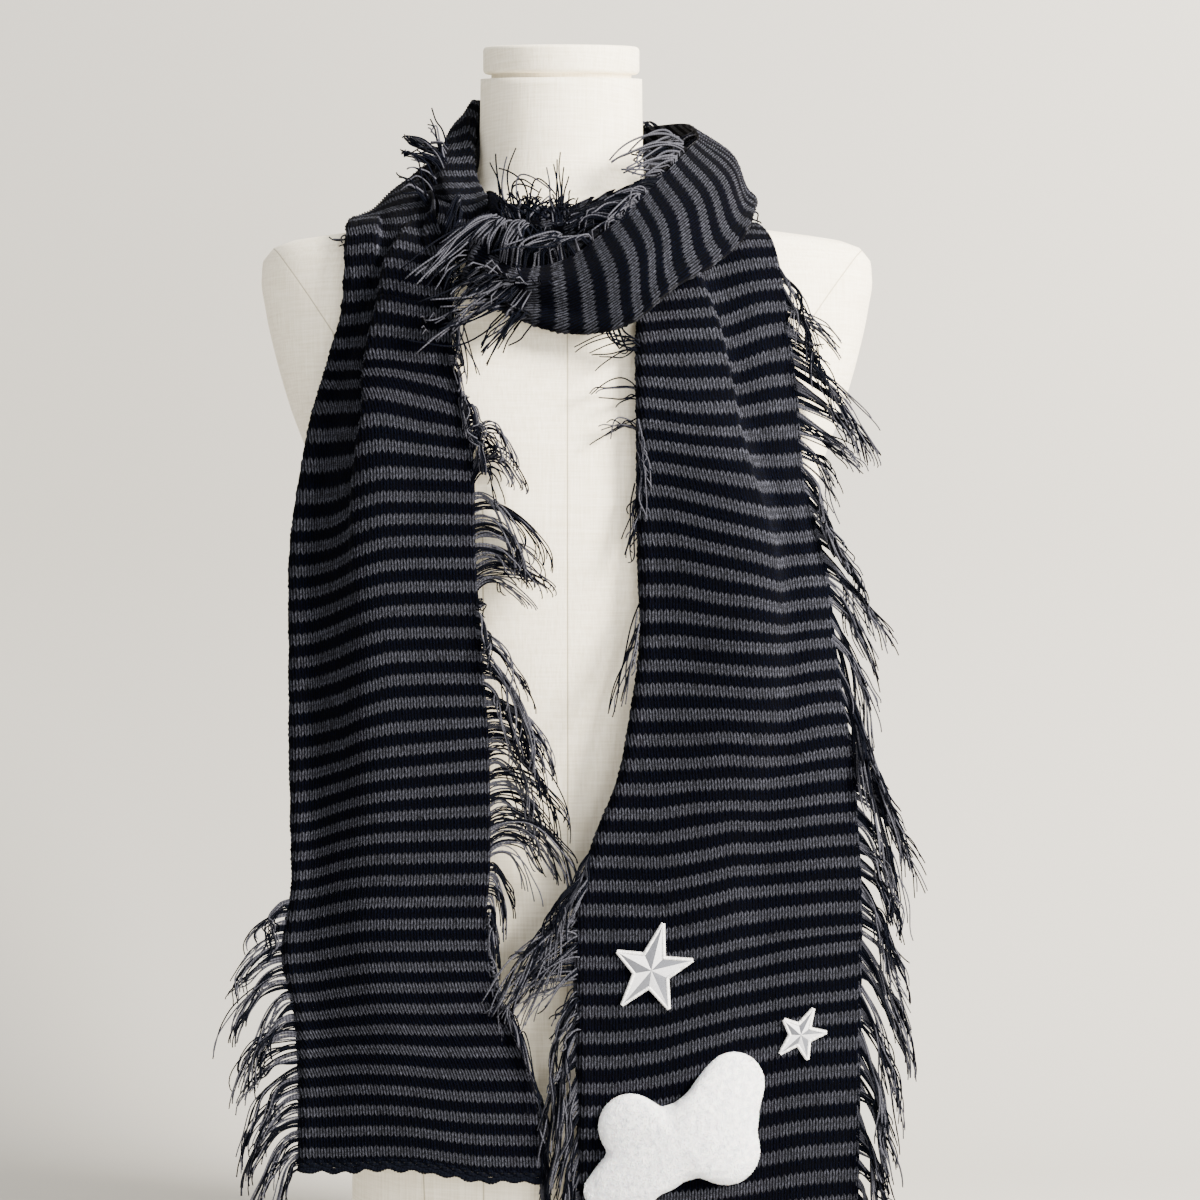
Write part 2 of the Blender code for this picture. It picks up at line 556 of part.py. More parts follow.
def stretch_rows(ribbon, name):
    """Rows of points on one stretch, from its seam to the next."""
    start, end = ribbon.span(name)
    count = max(round((end - start) / ROW_STEP), 2)
    shares = facet_shares()
    return [[ribbon.point(start + (end - start) * step / count, share) for share in shares]
            for step in range(count + 1)]


def settled_stretches(ribbon, carriers):
    """The grid of each stretch, settled as one cloth and then parted by half the seam's gap each."""
    whole = []
    cuts = [0]
    for name in ribbon.names:
        rows = stretch_rows(ribbon, name)
        whole += rows if not whole else rows[1:]
        cuts.append(len(whole) - 1)
    whole = settled(whole, carriers)
    parts = []
    for first, last in zip(cuts, cuts[1:]):
        rows = whole[first:last + 1]
        if first > 0:
            rows[0] = drawn_back(rows[0], rows[1])
        if last + 1 < len(whole):
            rows[-1] = drawn_back(rows[-1], rows[-2])
        parts.append(rows)
    return parts


def drawn_back(row, inside):
    return [a + (b - a).normalized() * (SEAM_GAP / 2.0) for a, b in zip(row, inside)]


def grid_tree(grid):
    """The surface of a grid, facing away from the form."""
    points = [point for row in grid for point in row]
    width = len(grid[0])
    faces = []
    for r in range(len(grid) - 1):
        for c in range(width - 1):
            i = r * width + c
            faces.append((i, i + 1, i + width + 1, i + width))
    return BVHTree.FromPolygons(points, faces)


def cloth(name, grid, finish, collection):
    """A wall of cloth on a grid of points in its middle."""
    bm = bmesh.new()
    rows = [[bm.verts.new(point) for point in row] for row in grid]
    for first, second in zip(rows, rows[1:]):
        for c in range(len(first) - 1):
            bm.faces.new((first[c], second[c], second[c + 1], first[c + 1]))
    item = add_object(name, bm, finish, collection)
    wall = item.modifiers.new("wall", "SOLIDIFY")
    wall.thickness = CLOTH_THICKNESS * MM
    wall.offset = 0.0
    return item


# Fringe

def edge_path(grid, free_edge):
    """Points of the free edge or the curled one, the way out from it and the cloth's outward normal."""
    path = []
    for r, row in enumerate(grid):
        before = grid[max(r - 1, 0)]
        after = grid[min(r + 1, len(grid) - 1)]
        at = len(row) - 1 if free_edge else FOLD_FACET
        inside = row[at - 1] if free_edge else row[at + 3]
        along = (after[at] - before[at]).normalized()
        out = row[at] - inside
        out = (out - along * out.dot(along)).normalized()
        normal = along.cross(out).normalized()
        outward = Vector((row[at].x - NECK_AXIS_X, row[at].y - FRONT_BIAS, 0.0))
        edge = row[at] if free_edge else row[at] + out * (CLOTH_THICKNESS / 2.0)
        path.append((edge, out, normal if normal.dot(outward) > 0.0 else -normal))
    return path


def path_at(path, lengths, at):
    i = min(max(bisect.bisect_right(lengths, at) - 1, 0), len(path) - 2)
    f = min(max((at - lengths[i]) / (lengths[i + 1] - lengths[i]), 0.0), 1.0)
    return [path[i][k].lerp(path[i + 1][k], f) for k in range(3)]


def lock_ring(bm, centre, across_axis, depth_axis, width, thickness):
    a = across_axis * (width / 2.0)
    d = depth_axis * (thickness / 2.0)
    return [bm.verts.new(centre - a - d), bm.verts.new(centre + a - d),
            bm.verts.new(centre + a + d), bm.verts.new(centre - a + d)]


def add_lock(bm, base, centre, along, out, normal, shape, carriers):
    """Draw one tapering lock out of the strip's face whose corners are base."""
    reach, fall, arch, lift = shape
    path = []
    for on_reach, on_fall, on_arch, on_lift in LOCK_COURSE:
        rise = UP * (arch * on_arch - fall * on_fall)
        path.append(centre + reach * on_reach + rise + normal * (lift * on_lift))
    path[0] += out * LOCK_START
    path = [keep_clear(point, carriers) for point in path]
    tip = path.pop()
    before = centre
    ring = base
    turn = 1.0 if out.cross(along).dot(normal) > 0.0 else -1.0
    for step, point in enumerate(path):
        heading = (point - before).normalized()
        side = (along - heading * along.dot(heading)).normalized()
        depth = heading.cross(side) * turn
        following = lock_ring(bm, point, side, depth, LOCK_WIDTHS[step], LOCK_THICKNESSES[step])
        bridge(bm, ring, following)
        ring = following
        before = point
    end = bm.verts.new(tip)
    for i in range(4):
        bm.faces.new((ring[i], ring[(i + 1) % 4], end))


def away(point):
    """The level way out from the neck's middle."""
    return Vector((point.x - NECK_AXIS_X, point.y, 0.0)).normalized()


def fringe(name, path, begin, clusters, reach_axis, carriers, finish, collection):
    """A narrow strip beside the cloth's edge, with a lock from each of its outer faces."""
    lengths = running_length([place[0] for place in path])
    total = min(sum(row[0] for row in clusters), lengths[-1] - begin - 1.0)
    count = int(total / LOCK_PITCH)
    stations = [path_at(path, lengths, begin + total * i / count) for i in range(count + 1)]
    bm = bmesh.new()
    strip = []
    for point, out, normal in stations:
        near = point + out * STRIP_GAP
        far = near + out * STRIP_WIDTH
        half = normal * (STRIP_THICKNESS / 2.0)
        strip.append([bm.verts.new(p) for p in (near - half, near + half, far + half, far - half)])
    for first, second in zip(strip, strip[1:]):
        # The strip's inner face, front and back; a lock closes its outer face
        for k in (0, 1, 3):
            bm.faces.new((first[k], first[(k + 1) % 4], second[(k + 1) % 4], second[k]))
    bm.faces.new(list(reversed(strip[0])))
    bm.faces.new(strip[-1])
    ends = [sum(row[0] for row in clusters[:i + 1]) for i in range(len(clusters))]
    for i in range(count):
        at = total * (i + 0.5) / count
        which = min(bisect.bisect_right(ends, at), len(clusters) - 1)
        length, arch, reach_1, fall_1, reach_2, fall_2, lift = clusters[which]
        f = min((at - (ends[which] - length)) / length, 1.0)
        reach = reach_1 + (reach_2 - reach_1) * f
        fall = fall_1 + (fall_2 - fall_1) * f
        base = [strip[i][3], strip[i + 1][3], strip[i + 1][2], strip[i][2]]
        centre = sum((corner.co for corner in base), Vector()) / 4.0
        along = (stations[i + 1][0] - stations[i][0]).normalized()
        out = (stations[i][1] + stations[i + 1][1]).normalized()
        normal = (stations[i][2] + stations[i + 1][2]).normalized()
        reach_way = away(centre) if reach_axis is None else reach_axis
        shape = (reach_way * reach, min(fall, centre.z - FLOOR_CLEARANCE), arch, lift)
        add_lock(bm, base, centre, along, out, normal, shape, carriers)
    face_outwards(bm)
    return add_object(name, bm, finish, collection)


# Patches on the right panel

def on_panel(tree, x, z, height):
    """A point this high above the panel's front, straight out from x and z."""
    place, normal, index, distance = tree.ray_cast(Vector((x, -IN_FRONT, z)), BACK)
    return place + normal * (CLOTH_THICKNESS / 2.0 + height)


def star(name, tree, centre, tips, finish, collection):
    x, z = centre
    mean = sum(length for angle, length in tips) / len(tips)
    outline = []
    for i, (angle, length) in enumerate(tips):
        following = tips[(i + 1) % len(tips)][0] + (360.0 if i + 1 == len(tips) else 0.0)
        between = math.radians((angle + following) / 2.0)
        turn = math.radians(angle)
        outline.append((x + length * math.sin(turn), z + length * math.cos(turn)))
        outline.append((x + mean * STAR_INNER_RADIUS * math.sin(between),
                        z + mean * STAR_INNER_RADIUS * math.cos(between)))
    bm = bmesh.new()
    low = [bm.verts.new(on_panel(tree, px, pz, PATCH_GAP)) for px, pz in outline]
    high = [bm.verts.new(on_panel(tree, px, pz, PATCH_GAP + STAR_EDGE)) for px, pz in outline]
    under = bm.verts.new(on_panel(tree, x, z, PATCH_GAP))
    over = bm.verts.new(on_panel(tree, x, z, PATCH_GAP + STAR_HEIGHT))
    bridge(bm, low, high)
    for i in range(len(outline)):
        j = (i + 1) % len(outline)
        bm.faces.new((low[j], low[i], under))
        bm.faces.new((high[i], high[j], over))
    face_outwards(bm)
    return add_object(name, bm, finish, collection)


def bone_radius(angle):
    """How far the bone's outline lies from its centre in a direction."""
    c, s = math.cos(angle), math.sin(angle)
    furthest = 0.0
    for x, z, radius in BONE_LUMPS:
        along = x * c + z * s
        beside = x * s - z * c
        if abs(beside) < radius:
            furthest = max(furthest, along + math.sqrt(radius ** 2 - beside ** 2))
    return furthest


def bone_patch(tree, finish, collection):
    bm = bmesh.new()
    loops = []
    for scale, height in BONE_RINGS:
        loop = []
        for i in range(BONE_SEGMENTS):
            angle = 2.0 * math.pi * i / BONE_SEGMENTS
            radius = bone_radius(angle) * scale
            x = BONE_CENTRE[0] + radius * math.cos(angle)
            z = BONE_CENTRE[1] + radius * math.sin(angle)
            loop.append(bm.verts.new(on_panel(tree, x, z, PATCH_GAP + height)))
        loops.append(loop)
    for lower, upper in zip(loops, loops[1:]):
        bridge(bm, lower, upper)
    under = bm.verts.new(on_panel(tree, *BONE_CENTRE, PATCH_GAP))
    over = bm.verts.new(on_panel(tree, *BONE_CENTRE, PATCH_GAP + BONE_RINGS[-1][1] + BONE_CROWN))
    for i in range(BONE_SEGMENTS):
        j = (i + 1) % BONE_SEGMENTS
        bm.faces.new((loops[0][j], loops[0][i], under))
        bm.faces.new((loops[-1][i], loops[-1][j], over))
    face_outwards(bm)
    return add_object("bone_patch", bm, finish, collection)


def main():
    clear_scene()
    collection = part_collection()
    linen = material("linen_cover", (0.80, 0.78, 0.72), 0.9)
    knit = material("striped_knit", (0.045, 0.046, 0.055), 0.95)
    yarn = material("cut_yarn", (0.06, 0.06, 0.065), 0.95)
    satin = material("satin_stitch", (0.72, 0.72, 0.74), 0.45)
    plush = material("white_plush", (0.90, 0.90, 0.90), 1.0)

    form = add_object("form_torso", torso_mesh(), linen, collection)
    neck_cap(linen, collection)
    bm = torso_mesh()
    bmesh.ops.triangulate(bm, faces=bm.faces)
    form_tree = BVHTree.FromBMesh(bm)
    bm.free()
    on_form = (form_tree, FORM_CLEARANCE, True)

    turn = [arched_section(*rows) for rows in with_neighbours(INNER_TURN)]
    down = [panel_section(row) for row in LEFT_PANEL]
    under = Ribbon((("right_panel", [panel_section(row) for row in RIGHT_PANEL] + turn[:1]),
                    ("inner_turn", turn[1:])))
    over = Ribbon((("front_loop", [lapped_section(row) for row in FRONT_LOOP]),
                   ("outer_turn", [lapped_section(row) for row in OUTER_TURN] + down[:1]),
                   ("left_panel", down[1:])))
    right, inner = settled_stretches(under, [on_form])
    right_tree = grid_tree(right)
    layers = [(right_tree, LAYER_CLEARANCE, False), (grid_tree(inner), LAYER_CLEARANCE, False)]
    loop, outer, left = settled_stretches(over, [on_form] + layers)
    cloth("scarf_right_panel", right, knit, collection)
    cloth("scarf_inner_turn", inner, knit, collection)
    cloth("scarf_front_loop", loop, knit, collection)
    cloth("scarf_outer_turn", outer, knit, collection)
    cloth("scarf_left_panel", left, knit, collection)

    star("star_large", right_tree, LARGE_STAR_CENTRE, LARGE_STAR_TIPS, satin, collection)
    star("star_small", right_tree, SMALL_STAR_CENTRE, SMALL_STAR_TIPS, satin, collection)
    bone_patch(right_tree, plush, collection)

    near_form = [(form_tree, LOCK_CLEARANCE, True)]
    near_back = near_form + [(grid_tree([row[:FOLD_FACET:-1] for row in outer]), LOCK_CLEARANCE, False)]
    runs = (
        ("fringe_left_inner", left, True, 28.0, FRINGE_LEFT_INNER, RIGHT, near_form),
        ("fringe_left_outer", left, False, 385.0, FRINGE_LEFT_OUTER, LEFT, near_form),
        ("fringe_right_outer", right[::-1], True, 64.0, FRINGE_RIGHT_OUTER, RIGHT, near_form),
        ("fringe_right_inner", right[::-1], False, 520.0, FRINGE_RIGHT_INNER, LEFT, near_form),
        ("fringe_ridge", loop[::-1], True, 60.0, FRINGE_RIDGE, LEFT, near_form),
        ("fringe_collar", inner, True, 290.0, FRINGE_COLLAR, LEFT, near_form),
        ("fringe_back", outer, True, 20.0, FRINGE_BACK, None, near_back),
    )
    for name, grid, free_edge, begin, clusters, reach_axis, carriers in runs:
        path = edge_path(grid, free_edge)
        fringe(name, path, begin, clusters, reach_axis, carriers, yarn, collection)


main()
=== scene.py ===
import bisect
import functools
import math

import bpy
import numpy as np
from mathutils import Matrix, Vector
from mathutils.bvhtree import BVHTree


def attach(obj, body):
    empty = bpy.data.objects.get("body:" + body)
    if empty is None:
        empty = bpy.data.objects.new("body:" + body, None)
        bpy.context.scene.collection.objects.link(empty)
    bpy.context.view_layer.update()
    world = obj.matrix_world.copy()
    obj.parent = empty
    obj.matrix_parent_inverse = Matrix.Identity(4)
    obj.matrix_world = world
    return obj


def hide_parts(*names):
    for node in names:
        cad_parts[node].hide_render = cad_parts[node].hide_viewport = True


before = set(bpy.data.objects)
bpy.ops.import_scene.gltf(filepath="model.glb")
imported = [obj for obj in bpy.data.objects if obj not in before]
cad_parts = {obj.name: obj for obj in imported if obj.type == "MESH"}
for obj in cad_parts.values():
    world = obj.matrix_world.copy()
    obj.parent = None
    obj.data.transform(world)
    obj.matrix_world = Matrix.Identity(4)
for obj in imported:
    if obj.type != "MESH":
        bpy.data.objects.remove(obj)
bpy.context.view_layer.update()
chance = np.random.default_rng(7)

# Sizes and tables are in millimetres, like the part's own, and are scaled when a mesh is made
mm = 0.001
up = Vector((0.0, 0.0, 1.0))
right = Vector((1.0, 0.0, 0.0))
left = Vector((-1.0, 0.0, 0.0))
back = Vector((0.0, 1.0, 0.0))


# Camera, floor and light

view = {
    "place": (0.0231, -2.0, 0.470),
    "lens": 85.7,
    "sensor": 36.0,
}
stageLook = {
    "floor": "#aeaca7",
    "floorHalfWidth": 4.0,
    "front": -3.5,
    "bend": 0.35,            # where the sweep starts to rise
    "bendRadius": 0.55,
    "bendSteps": 16,
    "height": 3.2,
    "world": "#f4f3f0",
    "worldStrength": 1.0,
}
# name, place, aim, size, power, colour
lamps = (
    ("keyLight", (2.1, -1.5, 1.7), (0.0, 0.0, 0.45), 1.0, 480.0, "#fff7ea"),
    ("fillLight", (-1.6, -2.4, 1.1), (0.0, 0.0, 0.45), 2.0, 14.0, "#f3f5ff"),
    ("wallLight", (0.9, -0.2, 2.5), (0.5, 1.0, 0.6), 1.4, 34.0, "#ffffff"),
    ("lowLight", (0.9, -2.3, 0.45), (0.05, 0.0, 0.25), 1.0, 30.0, "#fffdfa"),
)


def linear(colour):
    channels = [int(colour[i:i + 2], 16) / 255.0 for i in (1, 3, 5)]
    return [c / 12.92 if c <= 0.04045 else ((c + 0.055) / 1.055) ** 2.4 for c in channels] + [1.0]


def feed(node, sources):
    # A source is a plain value, a socket, or a node that gives its one live output
    for socket, source in dict(sources).items():
        if isinstance(source, bpy.types.Node):
            source = next(output for output in source.outputs if output.enabled)
        if isinstance(source, bpy.types.NodeSocket):
            node.id_data.links.new(source, node.inputs[socket])
        else:
            node.inputs[socket].default_value = source


def addNode(tree, kind, sources=(), **settings):
    node = tree.nodes.new("ShaderNode" + kind)
    for name, value in settings.items():
        setattr(node, name, value)
    feed(node, sources)
    return node


def attributeParts(add, title):
    # The three values that a mesh keeps at each of its points under this title
    look = add("Attribute", attribute_name=title)
    return add("SeparateXYZ", {0: look.outputs["Vector"]}).outputs


def newMaterial(name, values):
    # The material, its main shader, and what adds a node to it
    finish = bpy.data.materials.new(name)
    finish.use_nodes = True
    shader = finish.node_tree.nodes["Principled BSDF"]
    feed(shader, values)
    return finish, shader, functools.partial(addNode, finish.node_tree)


def meshObject(name, points, faces, finish, attributes=()):
    mesh = bpy.data.meshes.new(name)
    mesh.from_pydata((np.asarray(points, dtype=float) * mm).tolist(), [], faces)
    mesh.validate()
    mesh.shade_smooth()
    mesh.materials.append(finish)
    for title, values in dict(attributes).items():
        flat = np.asarray(values, dtype=np.float32)
        kind = "FLOAT_VECTOR" if flat.ndim == 2 else "FLOAT"
        layer = mesh.attributes.new(title, kind, "POINT")
        layer.data.foreach_set("vector" if flat.ndim == 2 else "value", flat.ravel())
    item = bpy.data.objects.new(name, mesh)
    bpy.context.scene.collection.objects.link(item)
    return item


def settle(piece, slot, *nodes):
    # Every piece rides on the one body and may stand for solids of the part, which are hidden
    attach(piece, "root")
    if nodes:
        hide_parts(*nodes)


def setStage():
    camera = bpy.data.objects.new("camera", bpy.data.cameras.new("camera"))
    camera.location = view["place"]
    camera.rotation_euler = (math.pi / 2.0, 0.0, 0.0)
    camera.data.lens = view["lens"]
    camera.data.sensor_width = view["sensor"]
    bpy.context.scene.collection.objects.link(camera)
    bpy.context.scene.camera = camera

    # Matt paper sweep: no line between floor and wall. Its back is clear, for views from behind
    paper, shader, add = newMaterial("mattPaper", {
        "Roughness": 0.95, "Base Color": linear(stageLook["floor"])})
    behind = add("NewGeometry").outputs["Backfacing"]
    either = add("MixShader", {0: behind, 1: shader, 2: add("BsdfTransparent")})
    feed(paper.node_tree.nodes["Material Output"], {"Surface": either})
    profile = [(stageLook["front"], 0.0), (stageLook["bend"], 0.0)]
    for step in range(1, stageLook["bendSteps"] + 1):
        turn = math.pi / 2.0 * step / stageLook["bendSteps"]
        profile.append((stageLook["bend"] + stageLook["bendRadius"] * math.sin(turn),
                        stageLook["bendRadius"] * (1.0 - math.cos(turn))))
    profile.append((profile[-1][0], stageLook["height"]))
    half = stageLook["floorHalfWidth"]
    points = [(side * half / mm, y / mm, z / mm) for y, z in profile for side in (-1, 1)]
    faces = [(2 * i, 2 * i + 1, 2 * i + 3, 2 * i + 2) for i in range(len(profile) - 1)]
    meshObject("sweep", points, faces, paper)

    world = bpy.data.worlds.new("studio")
    world.use_nodes = True
    bpy.context.scene.world = world
    feed(world.node_tree.nodes["Background"],
         {"Color": linear(stageLook["world"]), "Strength": stageLook["worldStrength"]})
    for name, place, aim, size, power, colour in lamps:
        lamp = bpy.data.lights.new(name, "AREA")
        lamp.shape = "DISK"
        lamp.size = size
        lamp.energy = power
        lamp.color = linear(colour)[:3]
        item = bpy.data.objects.new(name, lamp)
        item.location = place
        item.rotation_euler = (Vector(aim) - Vector(place)).to_track_quat("-Z", "Y").to_euler()
        bpy.context.scene.collection.objects.link(item)


setStage()
print("stage set")


# Smooth curves through uneven knots

def spanAt(knots, at):
    return min(max(bisect.bisect_right(knots, at) - 1, 0), len(knots) - 2)


def smoothPoint(points, knots, at):
    i = spanAt(knots, at)
    span = knots[i + 1] - knots[i]
    f = (at - knots[i]) / span
    chord = (points[i + 1] - points[i]) / span
    before = chord
    after = chord
    if i > 0:
        previous = (points[i] - points[i - 1]) / (knots[i] - knots[i - 1])
        share = span / (knots[i + 1] - knots[i - 1])
        before = chord * (1.0 - share) + previous * share
    if i + 2 < len(points):
        following = (points[i + 2] - points[i + 1]) / (knots[i + 2] - knots[i + 1])
        share = span / (knots[i + 2] - knots[i])
        after = chord * (1.0 - share) + following * share
    return (points[i] * (1.0 - 3.0 * f * f + 2.0 * f ** 3) + points[i + 1] * (3.0 * f * f - 2.0 * f ** 3)
            + before * (span * (f - 2.0 * f * f + f ** 3)) + after * (span * (f ** 3 - f * f)))


def runningLength(points):
    lengths = [0.0]
    for first, second in zip(points, points[1:]):
        lengths.append(lengths[-1] + (second - first).length)
    return lengths


def varied(leastAndSpan, shape):
    least, span = leastAndSpan
    return least + span * chance.random(shape)


def unit(vectors):
    return vectors / np.maximum(np.linalg.norm(vectors, axis=-1, keepdims=True), 1e-9)


# Dress form

formSize = {
    "segments": 144,
    "ringStep": 5.0,
    "neckAxis": -4.0,
    "neckTilt": math.radians(9.0),
    "tiltStart": 752.0,
    "tiltRise": 84.0,
    "neckStart": 718.0,
    "neckBlend": 52.0,
    "neckTop": 834.5,
    "capRadius": 54.6,
    "capHeight": 19.0,
    "capRounding": 3.0,
    "capGap": 3.3,
    "capDome": 0.5,
    "capDish": 0.1,          # mm that the dome starts below the lid's rounding
    "capSegments": 96,
    "stemRadius": 49.0,
    "stemStart": 0.3,
    "baseTurn": ((3.0, 0.0), (1.0, 1.0), (0.0, 3.2)),    # in and up, where the cover turns under its board
    "baseHeight": 6.0,       # the turned edge is below this
    "seamAxis": 1.4,         # x of the centre seam
    "centreEnd": 728.0,      # height at which the centre seam ends
    "armholeStart": 575.0,   # height at which the armhole's seam begins
    "noSeam": 50.0,          # a distance at which none shows
}
linenLook = {
    "cover": "#fbf3e0",
    "slub": "#e6dcc4",
    "seam": "#b0a68e",
    "slubLength": 26.0,      # mm, a thick place in the thread
    "slubPitch": 1.3,        # mm, drawn coarser than the 0.5 mm thread so that it shows
    "seamHalfWidth": 0.9,
    "seamDepth": -1.4,       # against the weave's own relief
    "bumpDepth": 0.00035,    # metres
}
# height, half width, depth in front, depth behind, squareness
torsoRings = (
    (0, 149, 97, 96, 2.2),
    (60, 150, 99, 100, 2.2),
    (140, 148, 98, 98, 2.2),
    (220, 141, 93, 86, 2.2),
    (300, 135, 90, 76, 2.2),
    (380, 142, 95, 78, 2.2),
    (450, 156, 106, 86, 2.3),
    (520, 169, 115, 95, 2.35),
    (565, 178, 114, 99, 2.4),
    (603, 192, 109, 100, 2.4),
    (640, 203, 102, 97, 2.4),
    (672, 210, 95, 90, 2.4),
    (696, 212.5, 88, 80, 2.4),
    (710, 208, 83, 72, 2.35),
    (718, 194, 79, 67, 2.3),
    (723, 160, 76, 64, 2.2),
    (727, 128, 73.5, 62, 2.15),
    (733, 98, 70, 60.5, 2.1),
    (741, 78, 65, 59, 2.05),
    (753, 65, 60.5, 58, 2),
    (770, 58.5, 58, 57.5, 2),
    (800, 57, 57, 57, 2),
    (834.5, 56.5, 56.5, 56.5, 2),
)
# Seams of the cover, x to the side at each height: the princess seam and the armhole's
princessSeam = ((0, 93), (83, 97), (300, 84), (520, 101), (640, 112), (730, 118))
armholeSeam = ((560, 146), (612, 149), (650, 158), (675, 175), (689, 185), (708, 199), (722, 213))


def formRing(row):
    height, halfWidth, front, behind, squareness = row
    middle = (behind - front) / 2.0
    onNeck = min(max((height - formSize["neckStart"]) / formSize["neckBlend"], 0.0), 1.0)
    rise = min(max((height - formSize["tiltStart"]) / formSize["tiltRise"], 0.0), 1.0)
    lean = math.tan(formSize["neckTilt"]) * rise
    angles = np.linspace(0.0, math.tau, formSize["segments"], endpoint=False)
    c, s = np.cos(angles), np.sin(angles)
    x = formSize["neckAxis"] * onNeck + halfWidth * np.sign(c) * np.abs(c) ** (2.0 / squareness)
    y = middle + (front + behind) / 2.0 * np.sign(s) * np.abs(s) ** (2.0 / squareness)
    return np.stack([x, y, height + (y - middle) * lean], axis=1)


def bandFaces(rows, width):
    faces = []
    for r in range(rows - 1):
        for c in range(width):
            d = (c + 1) % width
            faces.append((r * width + c, r * width + d, (r + 1) * width + d, (r + 1) * width + c))
    return faces


def closedFaces(rows, width):
    low, high = range(width - 1, -1, -1), range((rows - 1) * width, rows * width)
    return bandFaces(rows, width) + [tuple(low), tuple(high)]


def formMesh():
    rows = [Vector(row) for row in torsoRings]
    heights = [row[0] for row in torsoRings]
    rings = []
    for inset, height in formSize["baseTurn"]:
        row = smoothPoint(rows, heights, height)
        rings.append(formRing((height, row[1] - inset, row[2] - inset, row[3] - inset, row[4])))
    for low, high in zip(heights, heights[1:]):
        steps = max(round((high - low) / formSize["ringStep"]), 2)
        for step in range(1, steps + 1):
            height = low + (high - low) * step / steps
            if height > formSize["baseHeight"]:
                rings.append(formRing(smoothPoint(rows, heights, height)))
    return np.concatenate(rings), closedFaces(len(rings), formSize["segments"])


def seamDistances(points):
    # Past a seam's end its distance grows fast, so that no line is drawn there
    x, y, z = points.T
    centre = x - formSize["seamAxis"]
    princess, armhole = [np.abs(centre) - np.interp(z, *zip(*seam)) for seam in (princessSeam, armholeSeam)]
    armhole = armhole + 30.0 * np.clip((formSize["armholeStart"] - z) / 15.0, 0.0, 3.0)
    centre = centre + 60.0 * np.clip((z - formSize["centreEnd"]) / 10.0, 0.0, 2.0)
    return np.stack([centre, princess, armhole], axis=1)


def linenMaterial():
    # Linen, plain woven and drawn tight over the form: matt, with faint slubs both ways and fine seams
    finish, shader, add = newMaterial("wovenLinen", {
        "Roughness": 0.9, "Sheen Weight": 0.08, "IOR": 1.5, "Specular IOR Level": 0.25})
    place = add("TexCoord").outputs["Object"]
    long, short = 1.0 / mm / linenLook["slubLength"], 1.0 / mm / linenLook["slubPitch"]
    weave = []
    for scale in ((long, long, short), (short, short, long)):
        mapping = add("Mapping", {"Vector": place, "Scale": scale})
        weave.append(add("TexNoise", {"Vector": mapping, "Scale": 1.0, "Detail": 2.0}).outputs["Fac"])
    both = add("Math", {0: weave[0], 1: weave[1]}, operation="ADD")
    blend = add("MapRange", {0: both, 1: 0.75, 2: 1.3})
    colour = add("Mix", {"Factor": blend, 6: linear(linenLook["cover"]), 7: linear(linenLook["slub"])},
                 data_type="RGBA")
    sizes = [add("Math", {0: part}, operation="ABSOLUTE") for part in attributeParts(add, "seams")]
    nearest = sizes[0]
    for size in sizes[1:]:
        nearest = add("Math", {0: nearest, 1: size}, operation="MINIMUM")
    groove = add("MapRange", {0: nearest, 1: 0.0, 2: linenLook["seamHalfWidth"], 3: 1.0, 4: 0.0},
                 interpolation_type="SMOOTHSTEP")
    tinted = add("Mix", {"Factor": groove, 6: colour, 7: linear(linenLook["seam"])}, data_type="RGBA")
    height = add("Math", {0: groove, 1: linenLook["seamDepth"], 2: both}, operation="MULTIPLY_ADD")
    bump = add("Bump", {"Height": height, "Strength": 0.5, "Distance": linenLook["bumpDepth"]})
    feed(shader, {"Base Color": tinted, "Normal": bump})
    return finish


def capMesh():
    rounding = formSize["capRounding"]
    low = formSize["capGap"]
    top = low + formSize["capHeight"]
    profile = [(formSize["stemRadius"], formSize["stemStart"]), (formSize["stemRadius"], low)]
    for centre, start in ((low + rounding, 180.0), (top - rounding, 90.0)):
        for step in range(7):
            angle = math.radians(start - 15.0 * step)
            profile.append((formSize["capRadius"] - rounding + rounding * math.sin(angle),
                            centre + rounding * math.cos(angle)))
    # The lid's top is very slightly domed
    for share in (0.8, 0.5, 0.2):
        dome = formSize["capDome"] * (1.0 - share * share)
        profile.append((formSize["capRadius"] * share, top + dome - formSize["capDish"]))
    width = formSize["capSegments"]
    tilt = formSize["neckTilt"]
    points = []
    for radius, height in profile:
        for step in range(width):
            turn = math.tau * step / width
            y = radius * math.sin(turn)
            points.append((formSize["neckAxis"] + radius * math.cos(turn),
                           y * math.cos(tilt) - height * math.sin(tilt),
                           formSize["neckTop"] + y * math.sin(tilt) + height * math.cos(tilt)))
    return np.array(points), closedFaces(len(profile), width)


linen = linenMaterial()
formPoints, formFaces = formMesh()
form = meshObject("dressForm", formPoints, formFaces, linen, {"seams": seamDistances(formPoints)})
settle(form, "linen_cover", "form_torso")
capPoints, capFaces = capMesh()
cap = meshObject("neckCap", capPoints, capFaces, linen,
                 {"seams": np.full((len(capPoints), 3), formSize["noSeam"])})
settle(cap, "linen_cover", "form_neck_cap")
formTree = BVHTree.FromPolygons(formPoints.tolist(), formFaces)
print("dress form made")


# The scarf's sections, as in the part: a hidden edge that curls back, and a free edge

